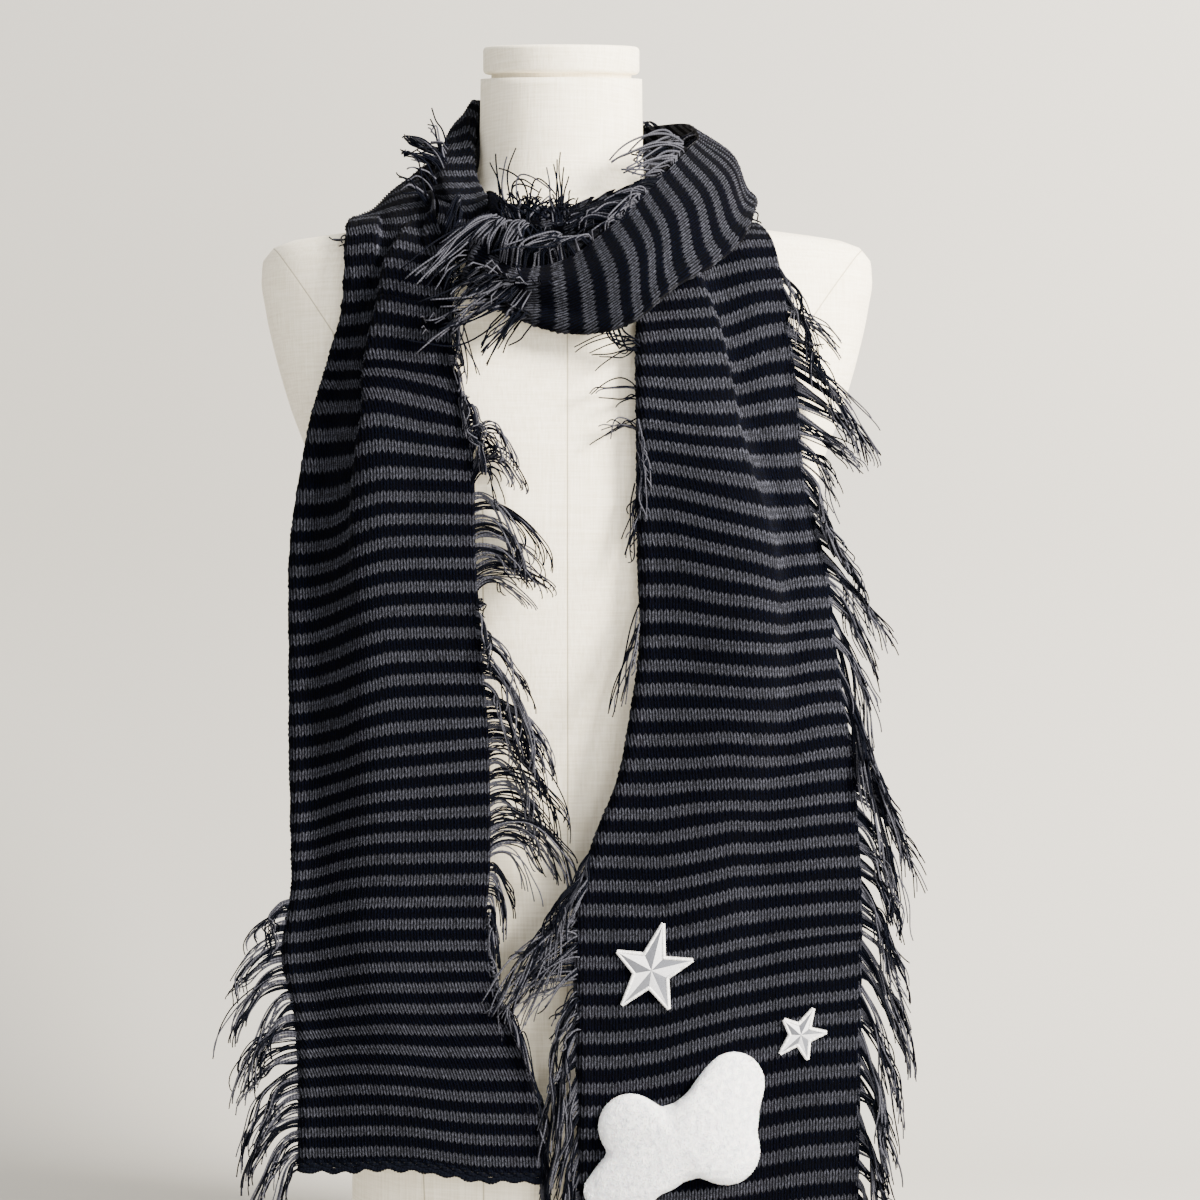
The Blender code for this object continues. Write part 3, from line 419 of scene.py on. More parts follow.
clothForm = {
    "formClearance": 2.8,
    "layerClearance": 5.0,
    "foldDepth": 5.6,
    "curlTail": 4.0,
    "curlStart": 9.0,
    "creaseHalf": 6.5,
    "panelSwell": 1.5,
    "rowStep": 5.0,
    "doubled": (0.19, 0.46),     # shares of the section under which an edge is folded back
    "halfWall": 1.0,
    "gaugeShare": 0.6,       # the share at which length along the strip is measured
    "settleTurns": 3,
    "settleBlur": 6,
    "edgeReach": 1.0,        # how far past a layer's edge it still carries the next
    "farBehind": -20.0,      # further behind a layer than this is clear of it again
    "cowlClearance": 3.0,
    "cowlSag": 5.0,
}
curlShares = (0.0, 0.08, 0.16, 0.20, 0.24, 0.30)
panelShares = curlShares + (0.50, 0.58, 0.8, 1.0)
archShares = curlShares + (0.58, 1.0)
lapShares = curlShares + (0.66, 1.0)
fineShares = np.concatenate([np.linspace(0.0, 0.16, 6)[:-1], np.linspace(0.16, 0.24, 8)[:-1],
                             np.linspace(0.24, 1.0, 44)])
foldColumn = 9               # the outermost point of the curl among those shares

# Front panels: height; x of the hidden edge's fold, of the crease and of the free edge; y at the
# fold, before and after the crease and at the free edge; drop at the fold and at the free edge;
# width of edge folded back
rightPanel = (
    (28, 9, 115, 193, -118, -118, -116, -112, 0, -8, 4),
    (75, 9, 115, 194, -118, -119, -117, -113, 0, -10, 4),
    (126, 9, 115, 195, -119, -120, -118, -113, 1, -11, 4),
    (205, 7, 115, 196, -120, -120, -118, -113, 3, -12, 4),
    (272, 8, 115, 196, -120, -121, -118, -112, 2, -12, 4),
    (311, 19, 118, 194, -121, -121, -118, -110, 1, -9, 6),
    (351, 35, 128, 192, -121, -121, -117, -107, 0, -7, 12),
    (391, 43, 138, 186, -121, -121, -115, -104, 0, -5, 20),
    (444, 50, 142, 179, -121, -120, -111, -100, -2, -3, 20),
    (483, 49, 141, 176, -123, -119, -107, -96, -6, 2, 20),
    (523, 48, 136, 168, -125, -118, -103, -92, -7, 5, 20),
    (563, 48, 124, 159, -125, -115, -101, -89, -6, 5, 13),
    (602, 48, 110, 156, -121, -110, -99, -86, -2, 0, 13),
    (642, 48, 102, 151, -112, -105, -96, -84, 2, -3, 13),
    (675, 50, 95, 146, -102, -98, -91, -81, 4, -8, 6),
    (704, 53, 93, 140, -91, -89, -85, -76, 3, -6, 6),
)
leftPanel = (
    (706, -146, -118, -79, -74, -78, -86, -86, 3, 6, 10),
    (669, -149, -126, -75, -86, -90, -99, -101, 5, 5, 14),
    (629, -161, -134, -73, -86, -95, -104, -109, 5, 6, 20),
    (603, -169, -135, -64, -86, -98, -107, -114, 5, 8, 30),
    (563, -177, -138, -60, -87, -101, -112, -117, 6, 4, 30),
    (510, -184, -141, -59, -90, -105, -116, -120, 8, 0, 30),
    (457, -184, -141, -56, -94, -109, -119, -121, 14, 0, 30),
    (377, -183, -141, -50, -99, -112, -120, -121, 15, -1, 30),
    (334, -182, -140, -49, -102, -113, -120, -121, 13, -1, 14),
    (296, -181, -140, -49, -106, -115, -120, -121, 12, -1, 6),
    (244, -187, -140, -51, -109, -116, -121, -121, 11, 0, 4),
    (205, -179, -135, -43, -110, -117, -121, -121, 9, 1, 4),
    (158, -176, -128, -22, -112, -118, -121, -120, 5, 5, 4),
    (95, -176, -115, -15, -113, -119, -120, -119, 1, 5, 4),
)
# Round the neck under the loop: the hidden edge, the middle and the free edge (x, y, z each)
innerTurn = (
    (60, -62, 734, 98, -60, 728, 133, -57, 723),
    (68, -20, 756, 98, -18, 740, 128, -16, 730),
    (64, 20, 778, 88, 24, 757, 112, 28, 738),
    (52, 42, 797, 68, 52, 770, 80, 59, 747),
    (29, 61, 806, 38, 74, 778, 43, 80, 751),
    (-4, 66, 811, -4, 81, 782, -4, 88, 754),
    (-34, 58, 817, -44, 73, 786, -50, 80, 758),
    (-58, 36, 824, -72, 46, 796, -79, 52, 768),
    (-64, 12, 821, -77, 10, 806, -84, 26, 788),
    (-63, -18, 791, -81, -18, 787, -87, 6, 779),
    (-61, -34, 764, -83, -42, 763, -92, -12, 763),
    (-53, -54, 745, -76, -64, 743, -90, -44, 747),
    (-46, -68, 732, -62, -77, 728, -86, -69, 734),
    (-42, -80, 714, -58, -86, 711, -88, -78, 713),
    (-40, -87, 698, -55, -91, 696, -86, -85, 695),
)
# Round the neck outside: the lower fold, the free edge along the ridge (x, y, z each), swell of the
# front flap, and how far up and how far in behind the fold the hidden edge lies
frontLoop = (
    (-71, -105, 684, -60, -110, 706, 2, 36, 9),
    (-42, -115, 662, -24, -115, 690, 6, 64, 26),
    (-3, -122, 647, 7, -116, 698, 8, 82, 34),
    (26, -127, 647, 25, -115, 712, 9, 94, 38),
    (48, -129, 655, 42, -109, 727, 9, 94, 34),
    (70, -124, 675, 57, -97, 744, 8, 84, 22),
    (98, -110, 693, 72, -80, 762, 8, 66, 13),
    (121, -89, 714, 85, -50, 779, 8, 50, 8),
    (131, -38, 741, 91, -14, 792, 8, 40, 7),
    (131, 8, 747, 84, 32, 808, 8, 36, 7),
)
outerTurn = (
    (113, 54, 744, 66, 66, 813, 8, 34, 7.5),
    (70, 94, 740, 36, 90, 813, 8, 32, 7.5),
    (14, 113, 737, -6, 100, 811, 8, 32, 7.5),
    (-46, 110, 734, -44, 92, 804, 7, 32, 7.5),
    (-96, 84, 731, -78, 70, 793, 6, 28, 7),
    (-128, 46, 731, -101, 40, 780, 5, 24, 6.6),
    (-141, 6, 733, -105, 8, 768, 4, 20, 6.4),
    (-147, -34, 731, -97, -36, 752, 3, 18, 6.4),
)


def curledEdge(edge, into, behind, tail):
    half = clothForm["foldDepth"] / 2.0
    under = edge + into * half + behind * clothForm["foldDepth"]
    return [under + into * tail, under + into * (tail / 2.0), under, edge + behind * half,
            edge + into * half, edge + into * (half + clothForm["curlStart"])]


def panelSection(row):
    height, fold, crease, free, depth, before, after, freeDepth, drop, freeDrop, tuck = row
    into = right if free > fold else left
    points = curledEdge(Vector((fold, depth, height)), into, back, tuck)
    first = crease - into.x * clothForm["creaseHalf"]
    second = crease + into.x * clothForm["creaseHalf"]
    points += [Vector((first, before, height)), Vector((second, after, height)),
               Vector(((second + free) / 2.0, (after + freeDepth) / 2.0 - clothForm["panelSwell"], height)),
               Vector((free, freeDepth, height))]
    for point in points:
        toFold = min(max((point.x - crease) / (fold - crease), 0.0), 1.0)
        toFree = min(max((point.x - crease) / (free - crease), 0.0), 1.0)
        point.z -= drop * math.sin(toFold * math.pi / 2.0) + freeDrop * math.sin(toFree * math.pi / 2.0)
    return list(zip(panelShares, points))


def archedSection(row, previous, following):
    hidden, middle, free = Vector(row[0:3]), Vector(row[3:6]), Vector(row[6:9])
    into = (middle - hidden).normalized()
    along = Vector(following[3:6]) - Vector(previous[3:6])
    behind = along.cross(into).normalized()
    return list(zip(archShares, curledEdge(hidden, into, behind, clothForm["curlTail"]) + [middle, free]))


def lappedSection(row):
    fold, ridge = Vector(row[0:3]), Vector(row[3:6])
    swell, upBehind, inBehind = row[6:9]
    rise = (ridge - fold).normalized()
    outward = Vector((fold.x - formSize["neckAxis"], fold.y, 0.0)).normalized()
    outward = (outward - rise * outward.dot(rise)).normalized()
    points = curledEdge(fold, rise, -outward, clothForm["curlTail"])
    points[0] = fold + rise * upBehind - outward * inBehind
    points[1] = (points[0] + points[2]) / 2.0 - outward
    return list(zip(lapShares, points + [fold * 0.45 + ridge * 0.55 + outward * swell, ridge]))


def acrossSection(section, share):
    shares = [item[0] for item in section]
    points = [item[1] for item in section]
    lengths = runningLength(points)
    i = spanAt(shares, share)
    f = (share - shares[i]) / (shares[i + 1] - shares[i])
    return smoothPoint(points, lengths, lengths[i] + f * (lengths[i + 1] - lengths[i]))


def ribbonGrid(sections):
    # Rows of points every few millimetres along the strip, and how far along each row lies
    knots = runningLength([acrossSection(section, clothForm["gaugeShare"]) for section in sections])
    columns = [[acrossSection(section, share) for share in fineShares] for section in sections]
    count = round(knots[-1] / clothForm["rowStep"])
    rows = []
    alongs = [knots[-1] * step / count for step in range(count + 1)]
    for along in alongs:
        i = spanAt(knots, along)
        first, last = max(i - 1, 0), min(i + 3, len(knots))
        near = columns[first:last]
        rows.append([smoothPoint([row[c] for row in near], knots[first:last], along)
                     for c in range(len(fineShares))])
    return np.array(alongs), np.array([[tuple(p) for p in row] for row in rows]), knots


def keepClear(point, carriers, extra=0.0):
    for tree, clearance, closed in carriers:
        nearest, normal, index, distance = tree.find_nearest(point)
        offset = point - nearest
        height = offset.dot(normal)
        beside = (offset - normal * height).length
        over = beside < clothForm["edgeReach"] and height > clothForm["farBehind"]
        near = closed or over or distance < clearance
        if near and height < clearance + extra:
            point = point + normal * (clearance + extra - height)
    return point


def blurred(field, turns):
    for turn in range(turns):
        padded = np.pad(field, ((1, 1), (1, 1), (0, 0)), mode="edge")
        field = (padded[:-2, 1:-1] + padded[2:, 1:-1] + padded[1:-1, :-2] + padded[1:-1, 2:]
                 + 2.0 * field) / 6.0
    return field


def settledGrid(grid, carriers):
    low, high = clothForm["doubled"]
    extras = [clothForm["foldDepth"] if low < share < high else 0.0 for share in fineShares]
    for turn in range(clothForm["settleTurns"]):
        move = np.array([[tuple(keepClear(Vector(p), carriers, extra)) for p, extra in zip(row, extras)]
                         for row in grid]) - grid
        soft = blurred(move, clothForm["settleBlur"])
        grid = grid + np.where(np.abs(soft) > np.abs(move), soft, move)
    return grid


def gridTree(grid):
    rows, width = grid.shape[:2]
    faces = []
    for r in range(rows - 1):
        for c in range(width - 1):
            i = r * width + c
            faces.append((i, i + 1, i + width + 1, i + width))
    return BVHTree.FromPolygons(grid.reshape(-1, 3).tolist(), faces)


# Inside the loop, from behind its ridge back to the neck: the ridge end and the neck end (x, y, z each)
cowl = (
    (-56, -106, 706, -46, -42, 726),
    (-24, -112, 692, -28, -53, 727),
    (7, -113, 700, -4, -58, 727),
    (25, -112, 713, 12, -56, 733),
    (42, -106, 728, 27, -51, 743),
    (57, -94, 745, 40, -40, 751),
    (72, -77, 763, 51, -14, 763),
    (84, -48, 780, 54, 4, 782),
)


def cowlSection(row):
    ridge, neck = Vector(row[0:3]), Vector(row[3:6])
    return [(0.0, neck), (0.5, (ridge + neck) / 2.0 - up * clothForm["cowlSag"]), (1.0, ridge)]


turnSections = [archedSection(*rows) for rows in
                zip(innerTurn, innerTurn[:1] + innerTurn[:-1], innerTurn[1:] + innerTurn[-1:])]
underSections = [panelSection(row) for row in rightPanel] + turnSections
overSections = ([lappedSection(row) for row in frontLoop + outerTurn]
                + [panelSection(row) for row in leftPanel])
underAlong, underGrid, underKnots = ribbonGrid(underSections)
overAlong, overGrid, overKnots = ribbonGrid(overSections)
onForm = (formTree, clothForm["formClearance"], True)
underGrid = settledGrid(underGrid, [onForm])
underTree = gridTree(underGrid)
overGrid = settledGrid(overGrid, [onForm, (underTree, clothForm["layerClearance"], False)])
cowlAlong, cowlGrid = ribbonGrid([cowlSection(row) for row in cowl])[:2]
cowlGrid = settledGrid(cowlGrid, [onForm, (underTree, clothForm["cowlClearance"], False)])
print("scarf laid round the neck")


# Knitted cloth: every stitch is a pair of raised legs, with its rows bent to the V of the knitting

knitSize = {
    "wale": 4.0,             # mm across one column of stitches
    "stripeCourses": 2,      # rows of one colour
    "vDepth": 0.75,          # how far a V reaches along, in rows
    "relief": 0.75,          # mm, crown of a leg over the cloth
    "valley": -0.35,
    "uneven": 0.2,
    "legEnd": 0.62,          # share of the crown's height where one leg enters the next
    "lastWale": 0.6,         # share of a stitch that has to fit on the strip
    "backCrown": 0.6,        # what the plain back shows of the crown's light
}
# Stripe pairs counted along each half of the strip: distance along (mm), number of the pair
underStripes = ((0, 0), (114, 7.25), (147, 9.25), (227, 14.25), (304, 19.25), (387, 24.25),
                (461, 29.25), (542, 34.25), (628, 39.25), (1206, 78.05))
cowlStripes = ((0, 0.25), (200, 13.25))
overStripes = ((0, 0), (52.5, 3.25), (105.5, 6.25), (153, 9.25), (211, 12.25), (252, 14.25),
               (869, 55.25), (950, 60.25), (1025, 65.25), (1101, 70.25), (1174, 75.25),
               (1246, 80.25), (1314, 85.25), (1385, 90.25), (1400, 91.3))
knitLook = {
    "grey": ("#232428", "#434550"),      # in the shade of the fibres, and in full
    "black": ("#010107", "#040714"),
    "greyCourses": 1.86,     # of the four rows in each pair of stripes
    "valleyShade": 0.1,
    "plyPitch": 1.1,         # turns of the yarn's ply for each row
    "fibre": 1500.0,         # fibres per metre, drawn as noise
    "patch": 35.0,           # patches of uneven wear per metre
    "bumpDepth": 0.0006,     # metres
}


def knitMaterial():
    # Acrylic yarn, stocking stitch: dull, soft and fuzzy. Each leg keeps its full colour on its crown and
    # takes painted shade beside it, in the valleys between legs
    finish, shader, add = newMaterial("knittedAcrylic", {
        "Roughness": 0.95, "IOR": 1.5, "Specular IOR Level": 0.015, "Sheen Weight": 0.01,
        "Sheen Roughness": 0.6})
    wale, course, crown = attributeParts(add, "stitch")
    # A little is added, or rounding would put the first row of a pair of stripes at the end of the last
    lifted = add("Math", {0: course, 1: 0.02}, operation="ADD")
    number = add("Math", {0: lifted, 1: 2.0 * knitSize["stripeCourses"]}, operation="FLOORED_MODULO")
    isGrey = add("Math", {0: number, 1: knitLook["greyCourses"]}, operation="LESS_THAN")
    place = add("TexCoord").outputs["Object"]
    flecks = add("TexNoise", {"Vector": place, "Scale": knitLook["fibre"], "Detail": 3.0}).outputs["Fac"]
    patches = add("TexNoise", {"Vector": place, "Scale": knitLook["patch"], "Detail": 2.0})
    # Partly the yarn's heathered tone, partly painted shade of the fibres: the noise that lowers the bump
    # also darkens the colour
    fibreShadeAndHeather = add("MapRange", {0: flecks, 1: 0.41, 2: 0.59})
    black, grey = [add("Mix", {"Factor": fibreShadeAndHeather, 6: linear(deep), 7: linear(full)}, data_type="RGBA")
                   for deep, full in (knitLook["black"], knitLook["grey"])]
    yarn = add("Mix", {"Factor": isGrey, 6: black, 7: grey}, data_type="RGBA")
    # Painted shade: the colour darkens from the legs' crowns down into the valleys between them, where
    # shade falls
    valley = add("MapRange", {0: crown, 1: 0.16, 2: 0.95, 3: knitLook["valleyShade"], 4: 1.0})
    wear = add("MapRange", {0: patches.outputs["Fac"], 1: 0.3, 2: 0.7, 3: 0.92, 4: 1.08})
    shade = add("Math", {0: valley, 1: wear}, operation="MULTIPLY")
    colour = add("VectorMath", {0: yarn, "Scale": shade}, operation="SCALE")
    # The ply of the yarn: slanting lines over each leg
    slant = add("Math", {0: course, 1: knitLook["plyPitch"] * 4.0, 2: wale}, operation="MULTIPLY_ADD")
    ply = add("Math", {0: slant, 1: math.tau}, operation="MULTIPLY")
    wave = add("Math", {0: ply}, operation="SINE")
    height = add("Math", {0: wave, 1: 0.12, 2: flecks}, operation="MULTIPLY_ADD")
    bump = add("Bump", {"Height": height, "Strength": 0.6, "Distance": knitLook["bumpDepth"]})
    feed(shader, {"Base Color": colour, "Normal": bump})
    return finish


def catmull(values, at, inner):
    # Values on a smooth curve through evenly numbered rows; each row has this many axes of its own
    i = np.clip(np.floor(at).astype(int), 0, len(values) - 2)
    f = (at - i).reshape(at.shape + (1,) * inner)
    a = values[np.maximum(i - 1, 0)]
    b = values[i]
    c = values[i + 1]
    d = values[np.minimum(i + 2, len(values) - 1)]
    return 0.5 * (2.0 * b + (c - a) * f + (2.0 * a - 5.0 * b + 4.0 * c - d) * f ** 2
                  + (3.0 * b - a - 3.0 * c + d) * f ** 3)


# Creases: distance along and distance in from the free edge; how high the raised side stands over
# the other, and how far the other side's rows slip along the strip beside it
leftCrease = (
    (735, 20, 0, 0), (755, 27.5, 3, 2), (790, 44, 6, 4), (820, 50, 7, 5), (850, 58, 7, 6),
    (875, 67, 6.5, 6), (889, 71, 6, 5.5), (905, 76, 5.5, 4.5), (920, 79.5, 5, 3.5), (935, 82, 4.5, 2),
    (960, 83.5, 3.5, 0), (990, 84, 2, 0), (1040, 80, 0, 0),
)
rightCrease = (
    (430, 36, 0, 0), (455, 39, 0.6, 0), (495, 41, 1.4, 0), (515, 45, 2.2, 0), (530, 48, 3.2, -2),
    (550, 49, 4.6, -2.5), (565, 51, 5.5, -3), (585, 50.8, 6, -3.2), (605, 51.8, 6.5, -4),
    (625, 52.4, 7, -6), (640, 53.5, 6, -6.5), (660, 57, 4, -4), (690, 60, 0, 0),
)
# How far along the strip the rows of stitches have drifted: distance along, then the drift at each of
# these distances in from the free edge
leftDriftAt = (0, 20, 40, 60, 80, 100, 130)
leftDrift = (
    (817, 0, 0, 0, 0, 0, 0, 0), (853, 1, 0.5, 1.5, 4, 2, 0, 0), (875, 5, -2, -4.5, -3, -0.5, -3, -2),
    (889, 4.5, -0.5, -2.5, -3, 0.5, -1, -1), (903, 2, 0, -1.7, -1.8, 3.5, 2, 1),
    (919, 2.5, 0.2, -1.1, -1, 5, 6, 5), (933, 0.8, 0, 0, 1.5, 7.5, 11, 9.5),
    (949, 1, 0, 0, 0.8, 7.2, 13.5, 12), (978, 0, 0, 0, 1.8, 8.1, 12.2, 11),
    (1009, 0, 0, 0, 2, 6.7, 9.2, 7.5), (1054, 0.5, 0, 0, 1.5, 7, 9.2, 5),
    (1085, 0, 0, 0, 1.8, 7, 10.5, 5), (1114, -3, -1, 0.8, 3.3, 6, 9.3, 5.5),
    (1143, -2.3, -1, 0.6, 2.8, 5.5, 7, 6), (1174, -0.8, -0.3, 0.2, 1.2, 2.5, 3.3, 2.2),
    (1204, 0, 0, 0, 1, 1.2, 0.8, -0.8), (1240, 0, -0.2, 0, 0.8, 1.5, 1.8, -0.6),
    (1300, -0.8, -0.6, 0, 0.6, 1.1, 1.5, -0.8), (1357, 0.8, 0.8, 0.7, 0, -0.8, -0.8, -0.5),
    (1395, 2, 2, 2, 0, -1.8, -1.5, 0.3),
)
rightDriftAt = (0, 20, 40, 60, 85, 110, 135, 165)
rightDrift = (
    (0, 0, 0, 0, 0, 0, 0, 0, 0), (134, 11, 11, 11.5, 12, 12, 6.2, 0, -6),
    (147, 12, 11, 11, 11.5, 11.6, 7.5, 0, -4), (164, 9.5, 8.5, 9, 9.5, 9.3, 5.8, 0, -4),
    (178, 10.5, 8, 9, 10, 10.5, 8, 0, -2), (196, 9.7, 9, 8.2, 8.5, 8, 4.5, 0, -3.5),
    (213, 3, 3.2, 3.5, 5.5, 6.3, 3.2, 0, -2), (241, 2.6, 3.4, 3.7, 6.4, 9.2, 5, 0, 0.4),
    (271, 3.1, 3.1, 2.9, 4.7, 7.6, 3.5, 0, 0), (286, 4.1, 3.8, 3.6, 4.4, 8.3, 4.2, 0, 0),
    (303, 2.2, 2, 1.1, 2.7, 6.2, 5, 0, 0), (319, 3.3, 2.9, 2.2, 2.2, 4.6, 3.4, 0, 0),
    (337, 1.7, 0.6, -0.8, 1.1, 4.1, 1, 0, -0.7), (370, 0, 0, -2.5, -0.5, 1.6, 0.6, 0, 0),
    (385, -1, -1.5, -2, -1.8, 0, 0.8, 0, 0), (401, -2.7, -3.3, -4.6, -2.6, -1.2, 0.4, 0, 0),
    (416, -2, -2.4, -2.9, -1.8, -0.7, 0.9, 0, 0), (431, -4.1, -5.2, -6.6, -3.7, -1.7, 0.5, 0, 0),
    (446, -2.5, -4, -7, -3.7, -3, 0.4, 0, 0), (461, -1.4, -3, -9, -5, -2.3, 0.6, 0, 0),
    (493, -1, -5.5, -10, -7.7, -5, 0, 0, 0), (510, 0, -4, -9, -8, -4.5, -0.5, 0, 0),
    (527, 2, -1, -5, -4, -3, 0, 0, 0), (544, 3.5, 1.5, -1.5, -2.5, -2.5, 0, 0, 0),
    (563, 5, 4, 0.5, -4, -4.4, -0.5, 0, 0), (580, 5, 3.8, 0.7, -1.2, -2.9, 0, 0, 0),
    (596, 3.5, 3.2, -1, -1.2, -2.4, -1, 0, 0), (612, 4.5, 2.5, -2.2, -1, -1.4, -1, 0, 0),
    (625, 3.7, 2.6, -0.7, -1, 1, -1.7, 0, 0), (642, 0.3, 2.2, -0.5, -0.5, 0, -1, 0, 0),
    (665, 0, 0, 0, 0, 0, 0, 0, 0),
)
noDriftAt = (0, 1)
noDrift = ((0, 0, 0), (1, 0, 0))
noCrease = ((0, 0, 0, 0), (1, 0, 0, 0))
# Rows of stitches round the loop: distance along, width of the front, how much further along a row
# lies at the lower fold than at the ridge, and how far it bows between them
loopSlant = (
    (0, 35, 0, 0), (40, 36, 8, 1), (60, 48, 16, 2), (100, 70, 16, 2), (125, 74, 14, 2), (150, 77, 10, 1),
    (170, 81, 9, 0), (190, 84, 7, -1), (215, 87, 8, -4), (250, 80, 9, -8), (290, 72, 5, -6),
    (340, 68, 0, 0),
)
noSlant = ((0, 1, 0, 0), (1, 1, 0, 0))
creaseSize = {
    "width": 7.0,
    "swell": 26.0,           # mm that the raised side takes to sink back
    "soften": 9,             # mm over which the drift of the rows is evened out
    "edgeFade": 12.0,        # mm in which the raised side sinks to the free edge
}


def readField(field, along, inward):
    # Values between the whole millimetres of a field, and on beyond its two ends
    i = np.clip(np.floor(along).astype(int), 0, field.shape[0] - 2)
    j = np.clip(np.floor(inward).astype(int), 0, field.shape[1] - 2)
    f = (along - i)[..., None]
    g = np.clip(inward - j, 0.0, 1.0)[..., None]
    low = field[i, j] * (1.0 - g) + field[i, j + 1] * g
    high = field[i + 1, j] * (1.0 - g) + field[i + 1, j + 1] * g
    return low * (1.0 - f) + high * f


def fieldNormals(field, facing):
    return unit(np.cross(np.gradient(field, axis=0), np.gradient(field, axis=1)) * facing)


class Strip:
    # A ribbon's middle surface, read by distance along it and distance in from its free edge
    def __init__(self, alongs, grid, stripes, facing, crease=noCrease, raisedSide=1.0, slant=noSlant,
                 driftAt=noDriftAt, drift=noDrift):
        self.alongs = alongs
        self.grid = grid
        self.facing = facing
        self.crease = np.array(crease).T
        self.slant = np.array(slant).T
        self.raisedSide = raisedSide       # 1 towards the curled edge, -1 towards the free one
        steps = np.linalg.norm(np.diff(grid[:, ::-1], axis=1), axis=2)
        inward = np.concatenate([np.zeros((len(grid), 1)), np.cumsum(steps, axis=1)], axis=1)
        self.widths = inward[:, -1]
        self.pairs = np.array(stripes).T
        across = np.arange(int(self.widths.max()) + 2.0)
        even = np.array([[np.interp(across, lengths, row[:, k]) for k in range(3)]
                         for row, lengths in zip(grid[:, ::-1], inward)]).transpose(0, 2, 1)
        down = np.arange(int(alongs[-1]) + 1.0)
        flat = catmull(even, down / (alongs[1] - alongs[0]), 2)
        lift, slip = self.creased(down, across)
        table = np.array(drift).T
        columns = np.array([np.interp(down, table[0], column) for column in table[1:]]).T
        drifted = np.array([np.interp(across, driftAt, row) for row in columns])
        margin = creaseSize["soften"] // 2
        evened = np.pad(drifted, ((0, 0), (margin, margin)), mode="edge")
        slip += sum(evened[:, k:k + len(across)] for k in range(2 * margin + 1)) / (2.0 * margin + 1.0)
        flat = readField(flat, down[:, None] + slip, np.broadcast_to(across, slip.shape))
        self.cloth = flat + fieldNormals(flat, facing) * lift[..., None]
        self.sides = fieldNormals(self.cloth, facing)

    def courseAt(self, along):
        return np.interp(along, *self.pairs) * 2.0 * knitSize["stripeCourses"]

    def alongAt(self, course):
        pair = course / (2.0 * knitSize["stripeCourses"])
        return np.clip(np.interp(pair, self.pairs[1], self.pairs[0]), 0.0, self.alongs[-1])

    def rows(self, alongs, inward):
        # Points and outward normals where every distance along meets every distance in
        places = np.broadcast_arrays(np.asarray(alongs)[:, None], inward[None, :])
        return readField(self.cloth, *places), unit(readField(self.sides, *places))

    def creased(self, alongs, inward):
        place, rise, slip = [np.interp(alongs, self.crease[0], self.crease[k])[:, None] for k in (1, 2, 3)]
        over = (inward[None, :] - place) * self.raisedSide
        step = np.clip(over / creaseSize["width"] + 0.5, 0.0, 1.0)
        step = step * step * (3.0 - 2.0 * step)
        lift = rise * step * np.exp(-np.maximum(over, 0.0) / creaseSize["swell"])
        lift = lift * np.clip(inward[None, :] / creaseSize["edgeFade"], 0.0, 1.0)
        far = np.where(self.raisedSide > 0, place, self.widthAt(alongs)[:, None] - place)
        kept = 1.0 - np.clip(-over / np.maximum(far, 1.0), 0.0, 1.0)
        front, slant, bow = [np.interp(alongs, self.slant[0], self.slant[k])[:, None] for k in (1, 2, 3)]
        share = np.clip(inward[None, :] / front, 0.0, 1.0)
        return lift, slip * (1.0 - step) * kept + slant * (share - 0.5) + bow * 4.0 * share * (1.0 - share)

    def widthAt(self, along):
        return np.interp(along, self.alongs, self.widths)


